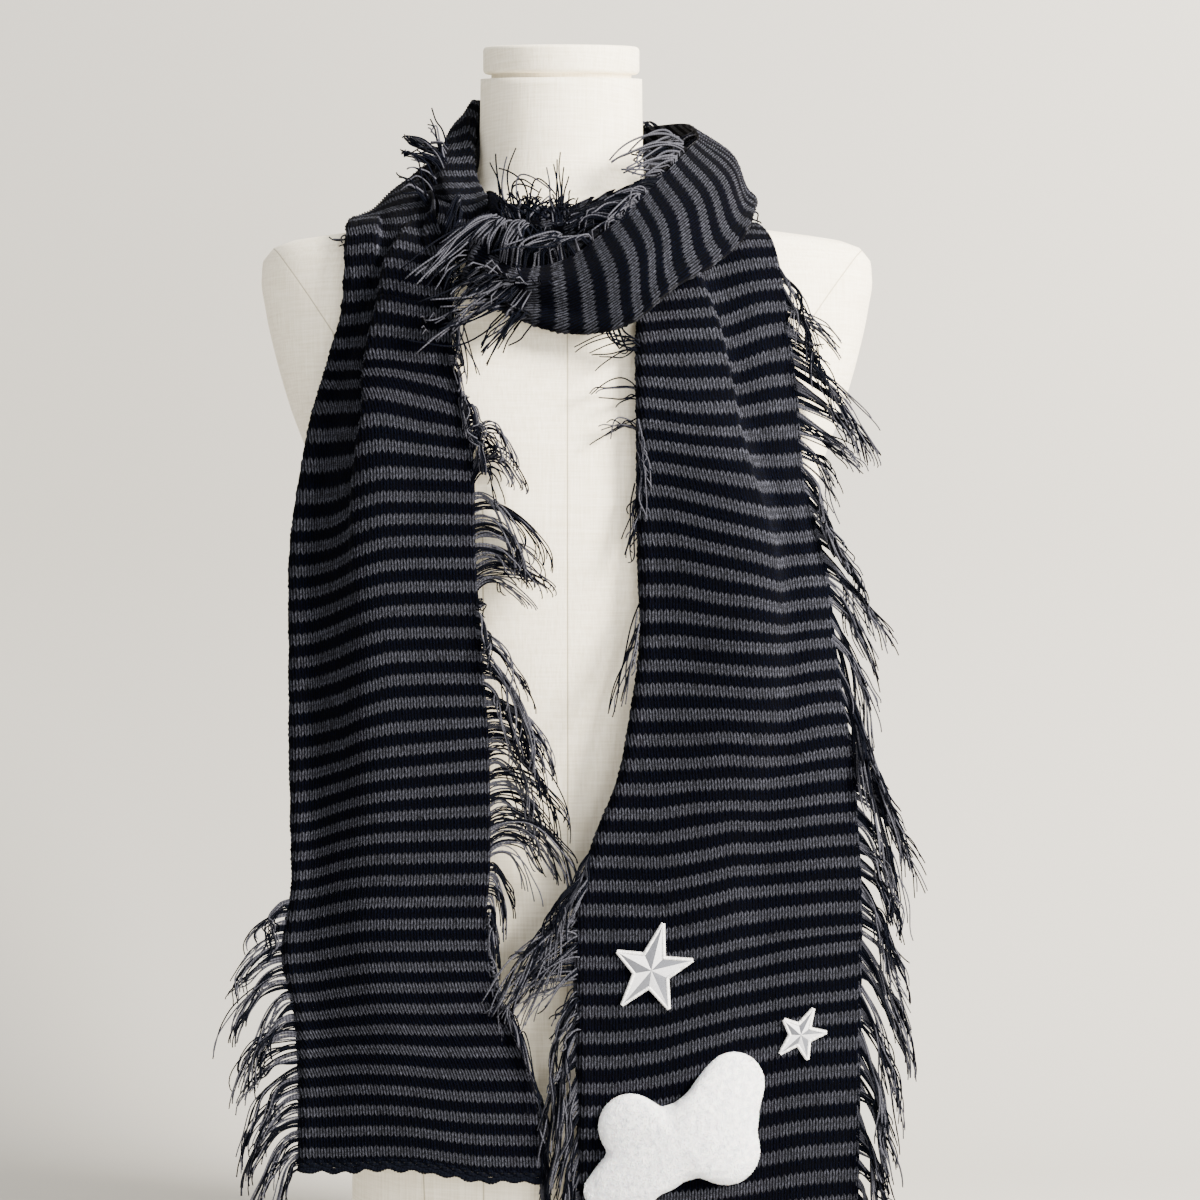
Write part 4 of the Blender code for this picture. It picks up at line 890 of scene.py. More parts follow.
def knitPiece(name, strip, firstCourse, lastCourse, finish):
    count = lastCourse - firstCourse
    wales = int(strip.widths.max() / knitSize["wale"]) + 1
    course = firstCourse + np.arange(2 * count + 1) / 2.0
    columns = np.arange(4 * wales + 1)
    points = np.zeros((len(course), len(columns), 3))
    normals = np.zeros_like(points)
    for quarter in range(4):
        bend = abs(quarter / 2.0 - 1.0)
        chosen = columns[columns % 4 == quarter]
        alongs = strip.alongAt(course - knitSize["vDepth"] * bend)
        points[:, chosen], normals[:, chosen] = strip.rows(alongs, chosen * knitSize["wale"] / 4.0)
    crown = np.zeros(points.shape[:2])
    legs = columns[columns % 2 == 1]
    crown[:, legs] = knitSize["legEnd"]
    crown[1::2, legs] = 1.0 + knitSize["uneven"] * chance.standard_normal((count, len(legs)))
    rise = knitSize["valley"] + crown * (knitSize["relief"] - knitSize["valley"])
    front = points + normals * (clothForm["halfWall"] + rise)[..., None]
    behind = (points - normals * clothForm["halfWall"])[::2, ::4]

    # A stitch is there if the strip is wide enough for it
    widths = strip.widthAt(strip.alongAt(firstCourse + np.arange(count) + 0.5))
    there = (np.arange(wales)[None, :] + knitSize["lastWale"]) * knitSize["wale"] < widths[:, None]
    frontIndex = np.arange(points.shape[0] * points.shape[1]).reshape(points.shape[:2])
    backIndex = frontIndex.size + np.arange(behind.shape[0] * behind.shape[1]).reshape(behind.shape[:2])
    a, b = np.nonzero(there)
    faces = []
    for row in range(2):
        for column in range(4):
            low, high = 2 * a + row, 4 * b + column
            faces.append(np.stack([frontIndex[low, high], frontIndex[low + 1, high],
                                   frontIndex[low + 1, high + 1], frontIndex[low, high + 1]], axis=1))
    faces.append(np.stack([backIndex[a, b], backIndex[a, b + 1], backIndex[a + 1, b + 1],
                           backIndex[a + 1, b]], axis=1))
    faces = np.concatenate(faces).tolist()
    framed = np.pad(there, 1)
    for j, i in zip(a.tolist(), b.tolist()):
        rows = frontIndex[2 * j:2 * j + 3, 4 * i:4 * i + 5]
        under = backIndex[j:j + 2, i:i + 2]
        sides = ((j + 1, i, rows[::-1, 0], under[0, 0], under[1, 0]),
                 (j + 1, i + 2, rows[:, 4], under[1, 1], under[0, 1]),
                 (j, i + 1, rows[0], under[0, 1], under[0, 0]),
                 (j + 2, i + 1, rows[2, ::-1], under[1, 0], under[1, 1]))
        for y, x, side, first, second in sides:
            if not framed[y, x]:
                faces.append([*side.tolist(), int(first), int(second)])
    if strip.facing < 0.0:
        faces = [face[::-1] for face in faces]
    everything = np.concatenate([front.reshape(-1, 3), behind.reshape(-1, 3)])
    waleGrid, courseGrid = np.meshgrid(columns / 4.0, course)
    stitch = np.stack([waleGrid, courseGrid, crown], axis=2)
    plain = (stitch * (1.0, 1.0, 0.0) + (0.0, 0.0, knitSize["backCrown"]))[::2, ::4]
    stitches = np.concatenate([stitch.reshape(-1, 3), plain.reshape(-1, 3)])
    used = np.unique(np.concatenate([np.asarray(face) for face in faces]))
    index = np.zeros(len(everything), dtype=int)
    index[used] = np.arange(len(used))
    faces = [[int(k) for k in index[face]] for face in faces]
    return meshObject(name, everything[used], faces, finish, {"stitch": stitches[used]})


underStrip = Strip(underAlong, underGrid, underStripes, 1.0, rightCrease, 1.0, noSlant, rightDriftAt,
                   rightDrift)
overStrip = Strip(overAlong, overGrid, overStripes, -1.0, leftCrease, -1.0, loopSlant, leftDriftAt,
                  leftDrift)
cowlStrip = Strip(cowlAlong, cowlGrid, cowlStripes, 1.0)
knit = knitMaterial()
underEnd = int(underStrip.courseAt(underAlong[-1]))
overEnd = int(overStrip.courseAt(overAlong[-1]))
underJoin = int(underStrip.courseAt(underKnots[len(rightPanel) + 1]))
overJoin = int(overStrip.courseAt(overKnots[len(frontLoop + outerTurn) + 1]))
cowlEnd = int(cowlStrip.courseAt(cowlAlong[-1]))
# name, strip, first and last row of stitches, the solids it stands for
knitRuns = (
    ("rightPanelKnit", underStrip, 1, underJoin, ("scarf_right_panel",)),
    ("innerTurnKnit", underStrip, underJoin, underEnd, ("scarf_inner_turn",)),
    ("loopKnit", overStrip, 1, overJoin, ("scarf_front_loop", "scarf_outer_turn")),
    ("leftPanelKnit", overStrip, overJoin, overEnd, ("scarf_left_panel",)),
    ("cowlKnit", cowlStrip, 2, cowlEnd, ()),
)
knitPieces = {}
for name, strip, first, last, nodes in knitRuns:
    knitPieces[name] = knitPiece(name, strip, first, last, knit)
    settle(knitPieces[name], "striped_knit", *nodes)
print("cloth knitted")


# Cut yarn ends: tapering tubes in clumps, the colour of the stripe that they come out of

yarnSize = {
    "radius": 0.62,
    "tangleRadius": 0.75,
    "thickRadius": 0.95,
    "tip": 0.75,             # share of the radius left at the end
    "points": 18,
    "sides": 3,
    "pitch": 0.85,           # mm along an edge, one end to the next
    "clump": (5, 13),        # ends that hang together
    "gather": (0.15, 0.88),  # how far a clump's roots and its tips draw together
    "sway": 5.0,             # mm that a clump leans along its edge
    "wave": 2.4,
    "wavePaces": (0.7, 1.5),     # bends from root to tip, slow and quick
    "waveShares": (1.1, 0.4),    # of a clump's bends and of an end's own
    "ownSway": 1.2,
    "lengthSpread": 0.16,
    "clumpSpread": 0.2,
    "fallSpread": (0.25, 0.08),  # of a clump's fall and of an end's own
    "reachLimits": (0.45, 1.3),
    "fallLimits": (0.4, 1.35),
    "paces": (0.7, 0.6),         # the least, and how much more at most, of its bends,
    "arches": (0.7, 0.6),        # of its arch
    "lifts": (0.5, 0.8),         # and of how far in front it hangs
    "floorGap": 5.0,
    "formClearance": 0.9,
    "clothClearance": 2.6,
    "hump": 2.5,             # mm that an end bows out of its edge
    "rooted": 3.5,           # mm that it starts inside it
    "middleDepth": 60.0,     # y of the place that the fringe stands outward from
    "insideStep": 6,         # columns in from the curled edge, which give the way out of it
}
yarnShares = np.linspace(0.0, 1.0, yarnSize["points"])
yarnLook = {
    "grey": "#42434b",
    "black": "#05070f",
    "plyPitch": 2.2,         # mm, one turn of the ply along the yarn
    "bumpDepth": 0.0003,     # metres
    # least, and how much more at most: an end's own shade, and how grey its grey is in a fringe or a bunch
    "shades": (0.85, 0.3),
    "fringeGrey": (0.7, 0.3),
    "bunchGrey": (0.75, 0.25),
}
# Along each end: shares of its reach, fall, arch and lift at a third, two thirds and its tip, where it
# springs out of the edge and where it hangs from it
yarnCourse = {
    "springing": {"reach": (0.38, 0.82, 1.0), "fall": (0.12, 0.52, 1.0), "arch": (1.0, 0.5, 0.0),
                  "lift": (0.3, 0.65, 1.0)},
    "hanging": {"reach": (0.48, 0.82, 1.0), "fall": (0.34, 0.68, 1.0), "arch": (1.0, 0.5, 0.0),
                "lift": (0.3, 0.65, 1.0)},
}
# A set of numbers for each cluster going down or round its edge: its length; rise of the arch; reach and
# fall of its first end and of its last one; how far in front of the edge the tips hang
leftInnerFringe = (
    (36, 0, 9, 30, 9, 28, 9), (30, 4, 10, 18, 10, 14, 9), (34, 16, 40, 14, 24, 4, 9),
    (40, 4, 45, 44, 38, 20, 9), (30, 8, 48, 16, 42, 8, 9), (22, 0, 12, 26, 14, 30, 9),
    (44, 0, 28, 56, 30, 46, 9), (36, 3, 38, 42, 34, 30, 5), (40, 8, 46, 40, 38, 24, -5),
    (34, 10, 50, 34, 40, 18, -9), (44, 4, 14, 30, 8, 34, -6), (40, 0, 8, 40, 9, 42, -4),
    (54, 0, 12, 42, 12, 44, -6), (70, 0, 10, 44, 8, 42, -9),
)
rightOuterFringe = (
    (16, 0, 16, 44, 22, 44, 9), (44, 0, 26, 44, 30, 44, 12), (36, 0, 44, 52, 44, 40, 6),
    (34, 0, 38, 34, 22, 34, 8), (36, 0, 14, 40, 16, 46, 13), (44, 0, 30, 54, 34, 42, 6),
    (42, 0, 26, 62, 24, 66, 9), (40, 0, 23, 70, 22, 72, 10), (40, 0, 24, 74, 28, 74, 12),
    (44, 0, 36, 74, 34, 58, 5), (40, 0, 32, 50, 26, 46, 8), (40, 0, 26, 52, 26, 62, 9),
    (40, 0, 28, 66, 28, 60, 9), (40, 0, 24, 66, 20, 70, 10), (60, 0, 18, 70, 18, 56, 10),
    (60, 0, 20, 50, 22, 24, 9),
)
rightInnerFringe = (
    (34, 0, 14, 52, 34, 72, 5), (34, 0, 44, 76, 46, 46, 8), (34, 0, 44, 34, 30, 8, 8),
    (50, 0, 16, 60, 22, 66, 8), (60, 0, 16, 60, 10, 50, 8), (44, 0, 12, 50, 12, 24, 8),
)
leftOuterFringe = (
    (50, 0, 26, 22, 30, 34, 7), (50, 2, 40, 48, 34, 46, 8), (55, 0, 34, 44, 30, 46, 8),
    (38, 0, 28, 48, 18, 44, 8),
)
ridgeFringe = (
    (80, 1, 16, 40, 16, 42, 3), (60, 1, 18, 40, 24, 34, 3.5), (60, 3, 34, 20, 42, 10, 5),
)
collarFringe = (
    (44, 0, 23, -8, 18, -2, 3),
)
backFringe = (
    (176, 8, 26, 18, 26, 18, 3),
)
# Loose bunches: first and last root, first and last tip, rise, how many ends, share of grey ones,
# and whether they lie on the cloth
neckBunches = (
    # Over the band's upper edge, down to the left
    ((-50, -101, 726), (-40, -107, 722), (-94, -122, 692), (-62, -127, 676), 4, 34, 0.50, True),
    ((-34, -111, 721), (-24, -114, 718), (-60, -130, 674), (-36, -134, 678), 4, 24, 0.50, True),
    ((-8, -116, 712), (4, -119, 708), (-46, -134, 692), (-20, -134, 682), 2, 22, 0.55, True),
    ((14, -120, 709), (22, -120, 710), (-30, -134, 698), (-8, -134, 686), 2, 16, 0.60, True),
    ((-3, -126, 688), (16, -124, 695), (-74, -134, 668), (-62, -134, 656), 6, 26, 0.50, True),
    ((-23, -128, 676), (-6, -128, 680), (-55, -132, 637), (-41, -132, 634), 3, 16, 0.35, True),
    # In the hollow between the collar and the left panel: mostly black ends, in part painted shade for the
    # hollow
    ((-72, -84, 742), (-68, -96, 716), (-84, -104, 690), (-76, -108, 676), 2, 40, 0.12, True),
    # Over the cloth's edge behind the band
    ((-40, -100, 724), (12, -106, 722), (-37, -103, 737), (9, -108, 733), 1, 60, 0.15, True),
    # Along the band's upper edge
    ((47, -108, 735), (56, -104, 741), (18, -124, 712), (26, -124, 706), 2, 16, 0.50, True),
    ((20, -120, 706), (30, -118, 715), (-12, -132, 690), (-2, -134, 684), 2, 16, 0.50, True),
    ((-6, -126, 686), (6, -124, 694), (-40, -134, 672), (-30, -135, 664), 2, 18, 0.60, True),
    ((-30, -128, 672), (-20, -128, 680), (-92, -132, 650), (-76, -134, 640), 3, 22, 0.60, True),
    # Dark ends that fill the hollow behind the band: black yarn, in part painted shade for the hollow
    ((-44, -100, 722), (-8, -104, 716), (-40, -116, 690), (2, -116, 694), 2, 60, 0.10, True),
    # From the ridge
    ((47, -108, 732), (60, -100, 745), (22, -122, 709), (31, -122, 703), 2, 12, 0.90, True),
    # Under the band
    ((22, -126, 647), (38, -124, 650), (44, -112, 637), (50, -108, 642), -7, 7, 0.10, False),
    # Right of the hump
    ((123, -60, 734), (125, -66, 718), (130, -62, 725), (124, -70, 710), 3, 6, 0.20, False),
    # Beside the collar
    ((-82, -45, 771), (-94, -62, 737), (-107, -50, 783), (-110, -66, 750), 6, 18, 0.25, False),
    ((-80, -35, 786), (-85, -50, 762), (-92, -35, 800), (-97, -50, 777), 4, 12, 0.20, False),
    # Left shoulder
    ((-137, -58, 717), (-145, -66, 707), (-160, -66, 715), (-150, -70, 708), 2, 8, 0.30, False),
)
thickBunches = (
    ((72, -40, 791), (89, -75, 761), (38, -92, 765), (51, -96, 755), 4, 26, 0.95, True),
)
panelBunches = (
    # Top of the left panel
    ((-79, -104, 674), (-67, -108, 652), (-62, -120, 624), (-85, -122, 630), 3, 26, 0.45, True),
    ((-73, -106, 689), (-68, -108, 669), (-87, -122, 648), (-90, -122, 661), 4, 16, 0.50, True),
    # Right panel's inner edge
    ((48, -114, 643), (48, -114, 634), (11, -124, 634), (24, -122, 625), 3, 7, 0.10, False),
    ((48, -116, 612), (48, -116, 601), (19, -122, 607), (31, -122, 594), 3, 6, 0.20, False),
    ((48, -118, 592), (48, -118, 581), (23, -122, 575), (31, -122, 583), 4, 7, 0.30, False),
    ((49, -124, 590), (51, -126, 555), (57, -128, 555), (49, -128, 520), 2, 16, 0.60, True),
    ((47, -122, 549), (49, -124, 509), (41, -126, 509), (44, -126, 486), 2, 9, 0.30, False),
    ((49, -121, 470), (47, -121, 430), (31, -124, 403), (41, -124, 411), 3, 12, 0.40, False),
    # Over the left panel's lower part
    ((-53, -124, 286), (-48, -124, 253), (-74, -126, 254), (-57, -126, 222), 4, 22, 0.50, True),
    ((-49, -124, 237), (-43, -124, 211), (-90, -127, 188), (-75, -127, 167), 7, 30, 0.60, True),
    ((-44, -124, 217), (-37, -124, 196), (-62, -128, 152), (-42, -128, 141), 6, 30, 0.60, True),
    ((-39, -124, 204), (-28, -124, 184), (-29, -128, 128), (-15, -128, 134), 5, 26, 0.50, True),
    # Pointing left from the right panel's edge
    ((9, -120, 262), (9, -120, 222), (-39, -126, 216), (-22, -126, 200), 6, 24, 0.60, False),
    ((9, -120, 217), (9, -120, 187), (-6, -126, 193), (-3, -126, 178), 3, 20, 0.50, False),
)
bunchSize = {
    "stray": 0.3,            # share of the bunch that a tip strays from its root's place in it
    "scatter": 0.8,          # mm, of the roots
    "lengthSpread": 0.22,
    "lengthLimits": (0.4, 1.3),
    "riseSpread": 0.1,       # share of an end's length
    "standingGreys": 0.2,    # share of the ends that stand up, their grey and how much they bend
    "standingGrey": 0.8,
    "standingWave": 0.5,
}
# Ends that stand up beside the neck: root, top of the bow, tip
standingEnds = (
    ((-38, -103, 724), (-44, -98, 742), (-46, -96, 768)),
    ((-36, -103, 724), (-42, -98, 744), (-38, -96, 764)),
    ((-34, -104, 723), (-42, -98, 740), (-50, -95, 762)),
    ((-32, -104, 723), (-34, -98, 748), (-20, -102, 746)),
    ((-30, -105, 722), (-34, -98, 746), (-16, -103, 740)),
    ((-30, -105, 722), (-30, -98, 752), (-10, -104, 742)),
    ((-28, -106, 721), (-38, -98, 742), (-34, -95, 772)),
    ((-26, -106, 721), (-28, -98, 748), (-44, -96, 758)),
    ((-24, -106, 720), (-20, -99, 750), (-6, -104, 738)),
    ((-8, -108, 719), (-10, -101, 740), (-12, -98, 758)),
    ((-6, -108, 718), (-6, -102, 742), (-6, -98, 764)),
    ((-5, -108, 718), (-5, -102, 738), (-8, -99, 760)),
    ((-4, -108, 718), (-3, -102, 742), (-4, -98, 768)),
    ((-2, -108, 718), (-2, -102, 740), (-1, -98, 758)),
    ((-3, -108, 718), (-1, -102, 738), (2, -99, 752)),
    ((1, -108, 718), (2, -102, 734), (4, -100, 744)),
)


def yarnMaterial():
    # The same acrylic yarn, cut: two plies twisted, dull and hairy
    finish, shader, add = newMaterial("cutAcrylicYarn", {
        "Roughness": 0.92, "IOR": 1.5, "Specular IOR Level": 0.03, "Sheen Weight": 0.01,
        "Sheen Roughness": 0.5})
    shade, run, level = attributeParts(add, "yarn")
    base = add("Mix", {"Factor": shade, 6: linear(yarnLook["black"]), 7: linear(yarnLook["grey"])},
               data_type="RGBA")
    # Painted shade of the ply: the colour darkens and lightens with the twist that also makes the bump,
    # over each end's own tone
    turns = add("Math", {0: run, 1: math.tau / yarnLook["plyPitch"]}, operation="MULTIPLY")
    wave = add("Math", {0: turns}, operation="SINE")
    plyShadeAndTone = add("Math", {0: wave, 1: 0.14, 2: level}, operation="MULTIPLY_ADD")
    colour = add("VectorMath", {0: base, "Scale": plyShadeAndTone}, operation="SCALE")
    bump = add("Bump", {"Height": wave, "Strength": 0.4, "Distance": yarnLook["bumpDepth"]})
    feed(shader, {"Base Color": colour, "Normal": bump})
    return finish


def tubes(name, lines, radius, shades, finish, sides=yarnSize["sides"], tip=yarnSize["tip"]):
    # One mesh of many tapering tubes along lines of points
    count, points = lines.shape[:2]
    tangent = unit(np.gradient(lines, axis=1))
    side = np.cross(tangent[:, 0], chance.standard_normal((count, 3)))
    rings = []
    share = np.linspace(0.0, 1.0, points)
    thin = radius * (1.0 - share ** 2 * (1.0 - tip))
    for i in range(points):
        side = unit(side - tangent[:, i] * (side * tangent[:, i]).sum(axis=1, keepdims=True))
        other = np.cross(tangent[:, i], side)
        ring = []
        for k in range(sides):
            angle = math.tau * k / sides
            ring.append(lines[:, i] + thin[i] * (side * math.cos(angle) + other * math.sin(angle)))
        rings.append(np.stack(ring, axis=1))
    vertices = np.stack(rings, axis=1)
    index = np.arange(count * points * sides).reshape(count, points, sides)
    faces = []
    for k in range(sides):
        m = (k + 1) % sides
        ring = [index[:, :-1, k], index[:, :-1, m], index[:, 1:, m], index[:, 1:, k]]
        faces.append(np.stack(ring, axis=2).reshape(-1, 4))
    faces = np.concatenate(faces).tolist()
    faces += index[:, 0, ::-1].tolist() + index[:, -1].tolist()
    steps = np.linalg.norm(np.diff(lines, axis=1), axis=2)
    run = np.concatenate([np.zeros((count, 1)), np.cumsum(steps, axis=1)], axis=1)
    level = varied(yarnLook["shades"], (count, 1)) * np.ones((1, points))
    shade = np.broadcast_to(np.asarray(shades, dtype=float)[:, None], run.shape)
    look = np.repeat(np.stack([shade, run, level], axis=2)[:, :, None, :], sides, axis=2)
    return meshObject(name, vertices.reshape(-1, 3), faces, finish, {"yarn": look.reshape(-1, 3)})


def courseShares(hang, key):
    # Values at every point of an end, on the cubic through its root and the three that the table gives
    curve = np.polyfit((0.0, 1.0 / 3.0, 2.0 / 3.0, 1.0), (0.0,) + yarnCourse[hang][key], 3)
    return np.polyval(curve, yarnShares)


def waves(count):
    # Soft bends that grow towards the tips
    share = yarnShares[None, :, None]
    total = 0.0
    for pace in yarnSize["wavePaces"]:
        ways = chance.standard_normal((count, 1, 3))
        rate = pace * varied(yarnSize["paces"], (count, 1, 1))
        start = chance.random((count, 1, 1))
        total = total + ways * np.sin(math.tau * (rate * share + start)) * (share ** 0.8) / (0.6 + pace)
    return total * yarnSize["wave"]


def clumped(count):
    # The clump that each end belongs to, and the middle of each clump
    ends = []
    while len(ends) < count:
        ends += [len(set(ends))] * int(chance.integers(*yarnSize["clump"]))
    which = np.array(ends[:count])
    middles = np.array([np.mean(np.nonzero(which == k)[0]) for k in range(which.max() + 1)])
    return which, middles[which]


def cleared(lines, onCloth):
    carriers = [(formTree, yarnSize["formClearance"], True)]
    if onCloth:
        carriers += [(tree, yarnSize["clothClearance"], False) for tree in (underTree, overTree)]
    flat = [tuple(keepClear(Vector(p), carriers)) for p in lines.reshape(-1, 3)]
    return np.array(flat).reshape(lines.shape)


def edgePlaces(strip, alongs, folded):
    # Points of the free edge or the curled one, the way out of the cloth and its outward normal
    at = np.asarray(alongs) / (strip.alongs[1] - strip.alongs[0])
    edge = foldColumn if folded else strip.grid.shape[1] - 1
    inside = edge + yarnSize["insideStep"] if folded else edge - 1
    points = catmull(strip.grid[:, edge], at, 1)
    out = unit(points - catmull(strip.grid[:, inside], at, 1))
    along = catmull(strip.grid[:, edge], np.clip(at + 1.0, 0, len(strip.grid) - 1), 1) - points
    normal = unit(np.cross(along, out))
    outward = (points - (formSize["neckAxis"], yarnSize["middleDepth"], 0.0)) * (1.0, 1.0, 0.0)
    return points, out, normal * np.sign((normal * outward).sum(axis=1, keepdims=True))


def fringeLines(strip, start, way, clusters, folded, reachAxis, hang, unshadedGreyShare):
    # start is where the run begins along the strip, and way is 1 or -1 along it
    total = sum(row[0] for row in clusters)
    count = int(total / yarnSize["pitch"])
    distance = (np.arange(count) + 0.5) * total / count
    alongs = np.clip(start + way * distance, 0.0, strip.alongs[-1])
    points, out, normal = edgePlaces(strip, alongs, folded)
    bounds = np.cumsum([row[0] for row in clusters])
    row = np.minimum(np.searchsorted(bounds, distance), len(clusters) - 1)
    table = np.array(clusters)
    f = np.clip((distance - (bounds[row] - table[row, 0])) / table[row, 0], 0.0, 1.0)
    reach = table[row, 2] + (table[row, 4] - table[row, 2]) * f
    fall = table[row, 3] + (table[row, 5] - table[row, 3]) * f
    which, middle = clumped(count)
    groups = which.max() + 1
    own = 1.0 + yarnSize["lengthSpread"] * chance.standard_normal(count)
    shared = 1.0 + yarnSize["clumpSpread"] * chance.standard_normal(groups)[which]
    together, alone = yarnSize["fallSpread"]
    drop = 1.0 + together * chance.standard_normal(groups)[which] + alone * chance.standard_normal(count)
    reach = reach * np.clip(own * shared, *yarnSize["reachLimits"])
    fall = fall * np.clip(own * drop, *yarnSize["fallLimits"])
    fall = np.minimum(fall, points[:, 2] - yarnSize["floorGap"])
    if reachAxis is None:
        axis = unit((points - (formSize["neckAxis"], 0.0, 0.0)) * (1.0, 1.0, 0.0))
    else:
        axis = np.broadcast_to(np.asarray(reachAxis, dtype=float), points.shape)
    share = yarnShares
    hump = yarnSize["hump"] * np.sin(math.pi * np.minimum(share * 1.5, 1.0))
    rise = np.outer(table[row, 1] * varied(yarnSize["arches"], count), courseShares(hang, "arch"))
    rise -= np.outer(fall, courseShares(hang, "fall"))
    lift = table[row, 6] * varied(yarnSize["lifts"], count)
    lines = (points[:, None, :] + out[:, None, :] * (hump - yarnSize["rooted"])[None, :, None]
             + axis[:, None, :] * np.outer(reach, courseShares(hang, "reach"))[..., None]
             + np.array(up) * rise[..., None]
             + normal[:, None, :] * np.outer(lift, courseShares(hang, "lift"))[..., None])
    towards = (middle - np.arange(count))[:, None] * np.gradient(points, axis=0)
    atRoot, atTip = yarnSize["gather"]
    gather = atRoot + (atTip - atRoot) * share ** 1.2
    edge = unit(np.gradient(points, axis=0))
    sway = (yarnSize["sway"] * chance.standard_normal(groups)[which]
            + yarnSize["ownSway"] * chance.standard_normal(count))
    lines = lines + towards[:, None, :] * gather[None, :, None]
    lines = lines + (edge * sway[:, None])[:, None, :] * (share ** 1.2)[None, :, None]
    together, alone = yarnSize["waveShares"]
    lines = lines + waves(groups)[which] * together + waves(count) * alone
    # Grey ends past that share are painted black: painted shade, most on the ridge run inside the loop
    pair = np.mod(strip.courseAt(alongs) / (2.0 * knitSize["stripeCourses"]), 1.0)
    grey = (pair < 0.5) & (chance.random(count) < unshadedGreyShare)
    return cleared(lines, False), np.where(grey, varied(yarnLook["fringeGrey"], count), 0.0)


def bunchLines(rows):
    everyLine, everyShade = [], []
    for rootA, rootB, tipA, tipB, rise, count, grey, onCloth in rows:
        u = np.sort(chance.random(count))[:, None]
        v = np.clip(u + bunchSize["stray"] * chance.standard_normal((count, 1)), -0.15, 1.15)
        root = np.array(rootA) * (1.0 - u) + np.array(rootB) * u
        root = root + chance.standard_normal((count, 3)) * bunchSize["scatter"]
        tip = np.array(tipA) * (1.0 - v) + np.array(tipB) * v
        size = np.linalg.norm(tip - root, axis=1, keepdims=True)
        own = 1.0 + bunchSize["lengthSpread"] * chance.standard_normal((count, 1))
        tip = root + (tip - root) * np.clip(own, *bunchSize["lengthLimits"])
        lean = np.array(up) * (rise + bunchSize["riseSpread"] * size * chance.standard_normal((count, 1)))
        first = root * 0.7 + tip * 0.3 + lean * 1.3
        second = root * 0.3 + tip * 0.7 + lean
        t = yarnShares[None, :, None]
        lines = (root[:, None] * (1 - t) ** 3 + 3.0 * first[:, None] * t * (1 - t) ** 2
                 + 3.0 * second[:, None] * t ** 2 * (1 - t) + tip[:, None] * t ** 3)
        everyLine.append(cleared(lines + waves(count), onCloth))
        isGrey = chance.random(count) < grey
        everyShade.append(np.where(isGrey, varied(yarnLook["bunchGrey"], count), 0.0))
    return np.concatenate(everyLine), np.concatenate(everyShade)


hemSize = {
    "radius": 1.25,
    "step": 0.9,
    "chain": 4.0,            # mm, one link
    "swing": 0.8,
    "scallop": 15.0,
    "below": 1.6,
    "depth": 3.4,
    "pucker": 9.0,           # mm from one pull in the edge to the next
    "strands": (-1.6, -0.7, 0.1, 0.6),   # up over the last row, and shares of the way down to the chain
    "strandStep": 1.6,       # mm up for each whole share
    "strandSwing": 0.5,
    "sightBack": 3.0,        # mm back along the strip, which gives the way down
    "sides": 5,
}


def hemLines(strip, along, way):
    # Two strands of the cast-off edge, chained round each other below the last row of stitches, and flat
    # strands that close the gap between them and the row
    inward = np.arange(0.5, strip.widthAt(along) - 0.5, hemSize["step"])
    points, normals = strip.rows(np.array([along - hemSize["sightBack"] * way, along]), inward)
    down = unit(points[1] - points[0])
    turn = math.tau * inward / hemSize["chain"]
    scallop = 0.5 + 0.5 * np.sin(math.tau * inward / hemSize["scallop"])
    pulls = np.arange(0.0, 400.0, hemSize["pucker"])
    pucker = np.interp(inward, pulls, chance.random(len(pulls)))
    below = hemSize["below"] + hemSize["depth"] * (0.6 * scallop + 0.4 * pucker)
    lines = []
    for phase in (0.0, math.pi):
        lines.append(points[1] + down * (below + hemSize["swing"] * np.sin(turn + phase))[:, None]
                     + normals[1] * (hemSize["swing"] * np.cos(turn + phase))[:, None])
    for share in hemSize["strands"]:
        drop = max(share, 0.0) * below + min(share, 0.0) * hemSize["strandStep"]
        lines.append(points[1] + down * drop[:, None]
                     + normals[1] * (hemSize["strandSwing"] * np.cos(turn * 0.5 + 9.0 * share))[:, None])
    return np.array(lines)


def standingLines():
    share = yarnShares[None, :, None]
    root, bow, tip = [np.array([row[k] for row in standingEnds], dtype=float)[:, None] for k in range(3)]
    mid = bow * 2.0 - (root + tip) / 2.0
    lines = root * (1 - share) ** 2 + 2.0 * mid * share * (1 - share) + tip * share ** 2
    isGrey = chance.random(len(standingEnds)) < bunchSize["standingGreys"]
    lines = lines + waves(len(standingEnds)) * bunchSize["standingWave"]
    return cleared(lines, False), np.where(isGrey, bunchSize["standingGrey"], 0.0)


overTree = gridTree(overGrid)
yarn = yarnMaterial()
# name, strip, its last row of stitches, way down
for name, strip, course, way in (("leftHem", overStrip, overEnd, 1.0), ("rightHem", underStrip, 1, -1.0)):
    lines = hemLines(strip, strip.alongAt(course), way)
    hem = tubes(name, lines, hemSize["radius"], np.zeros(len(lines)), yarn, sides=hemSize["sides"], tip=1.0)
    settle(hem, "striped_knit")
print("hems cast off")
leftTop = overKnots[len(frontLoop + outerTurn) + 1]
rightTop = underKnots[len(rightPanel) + 1]
loopEnd = overKnots[len(frontLoop)]
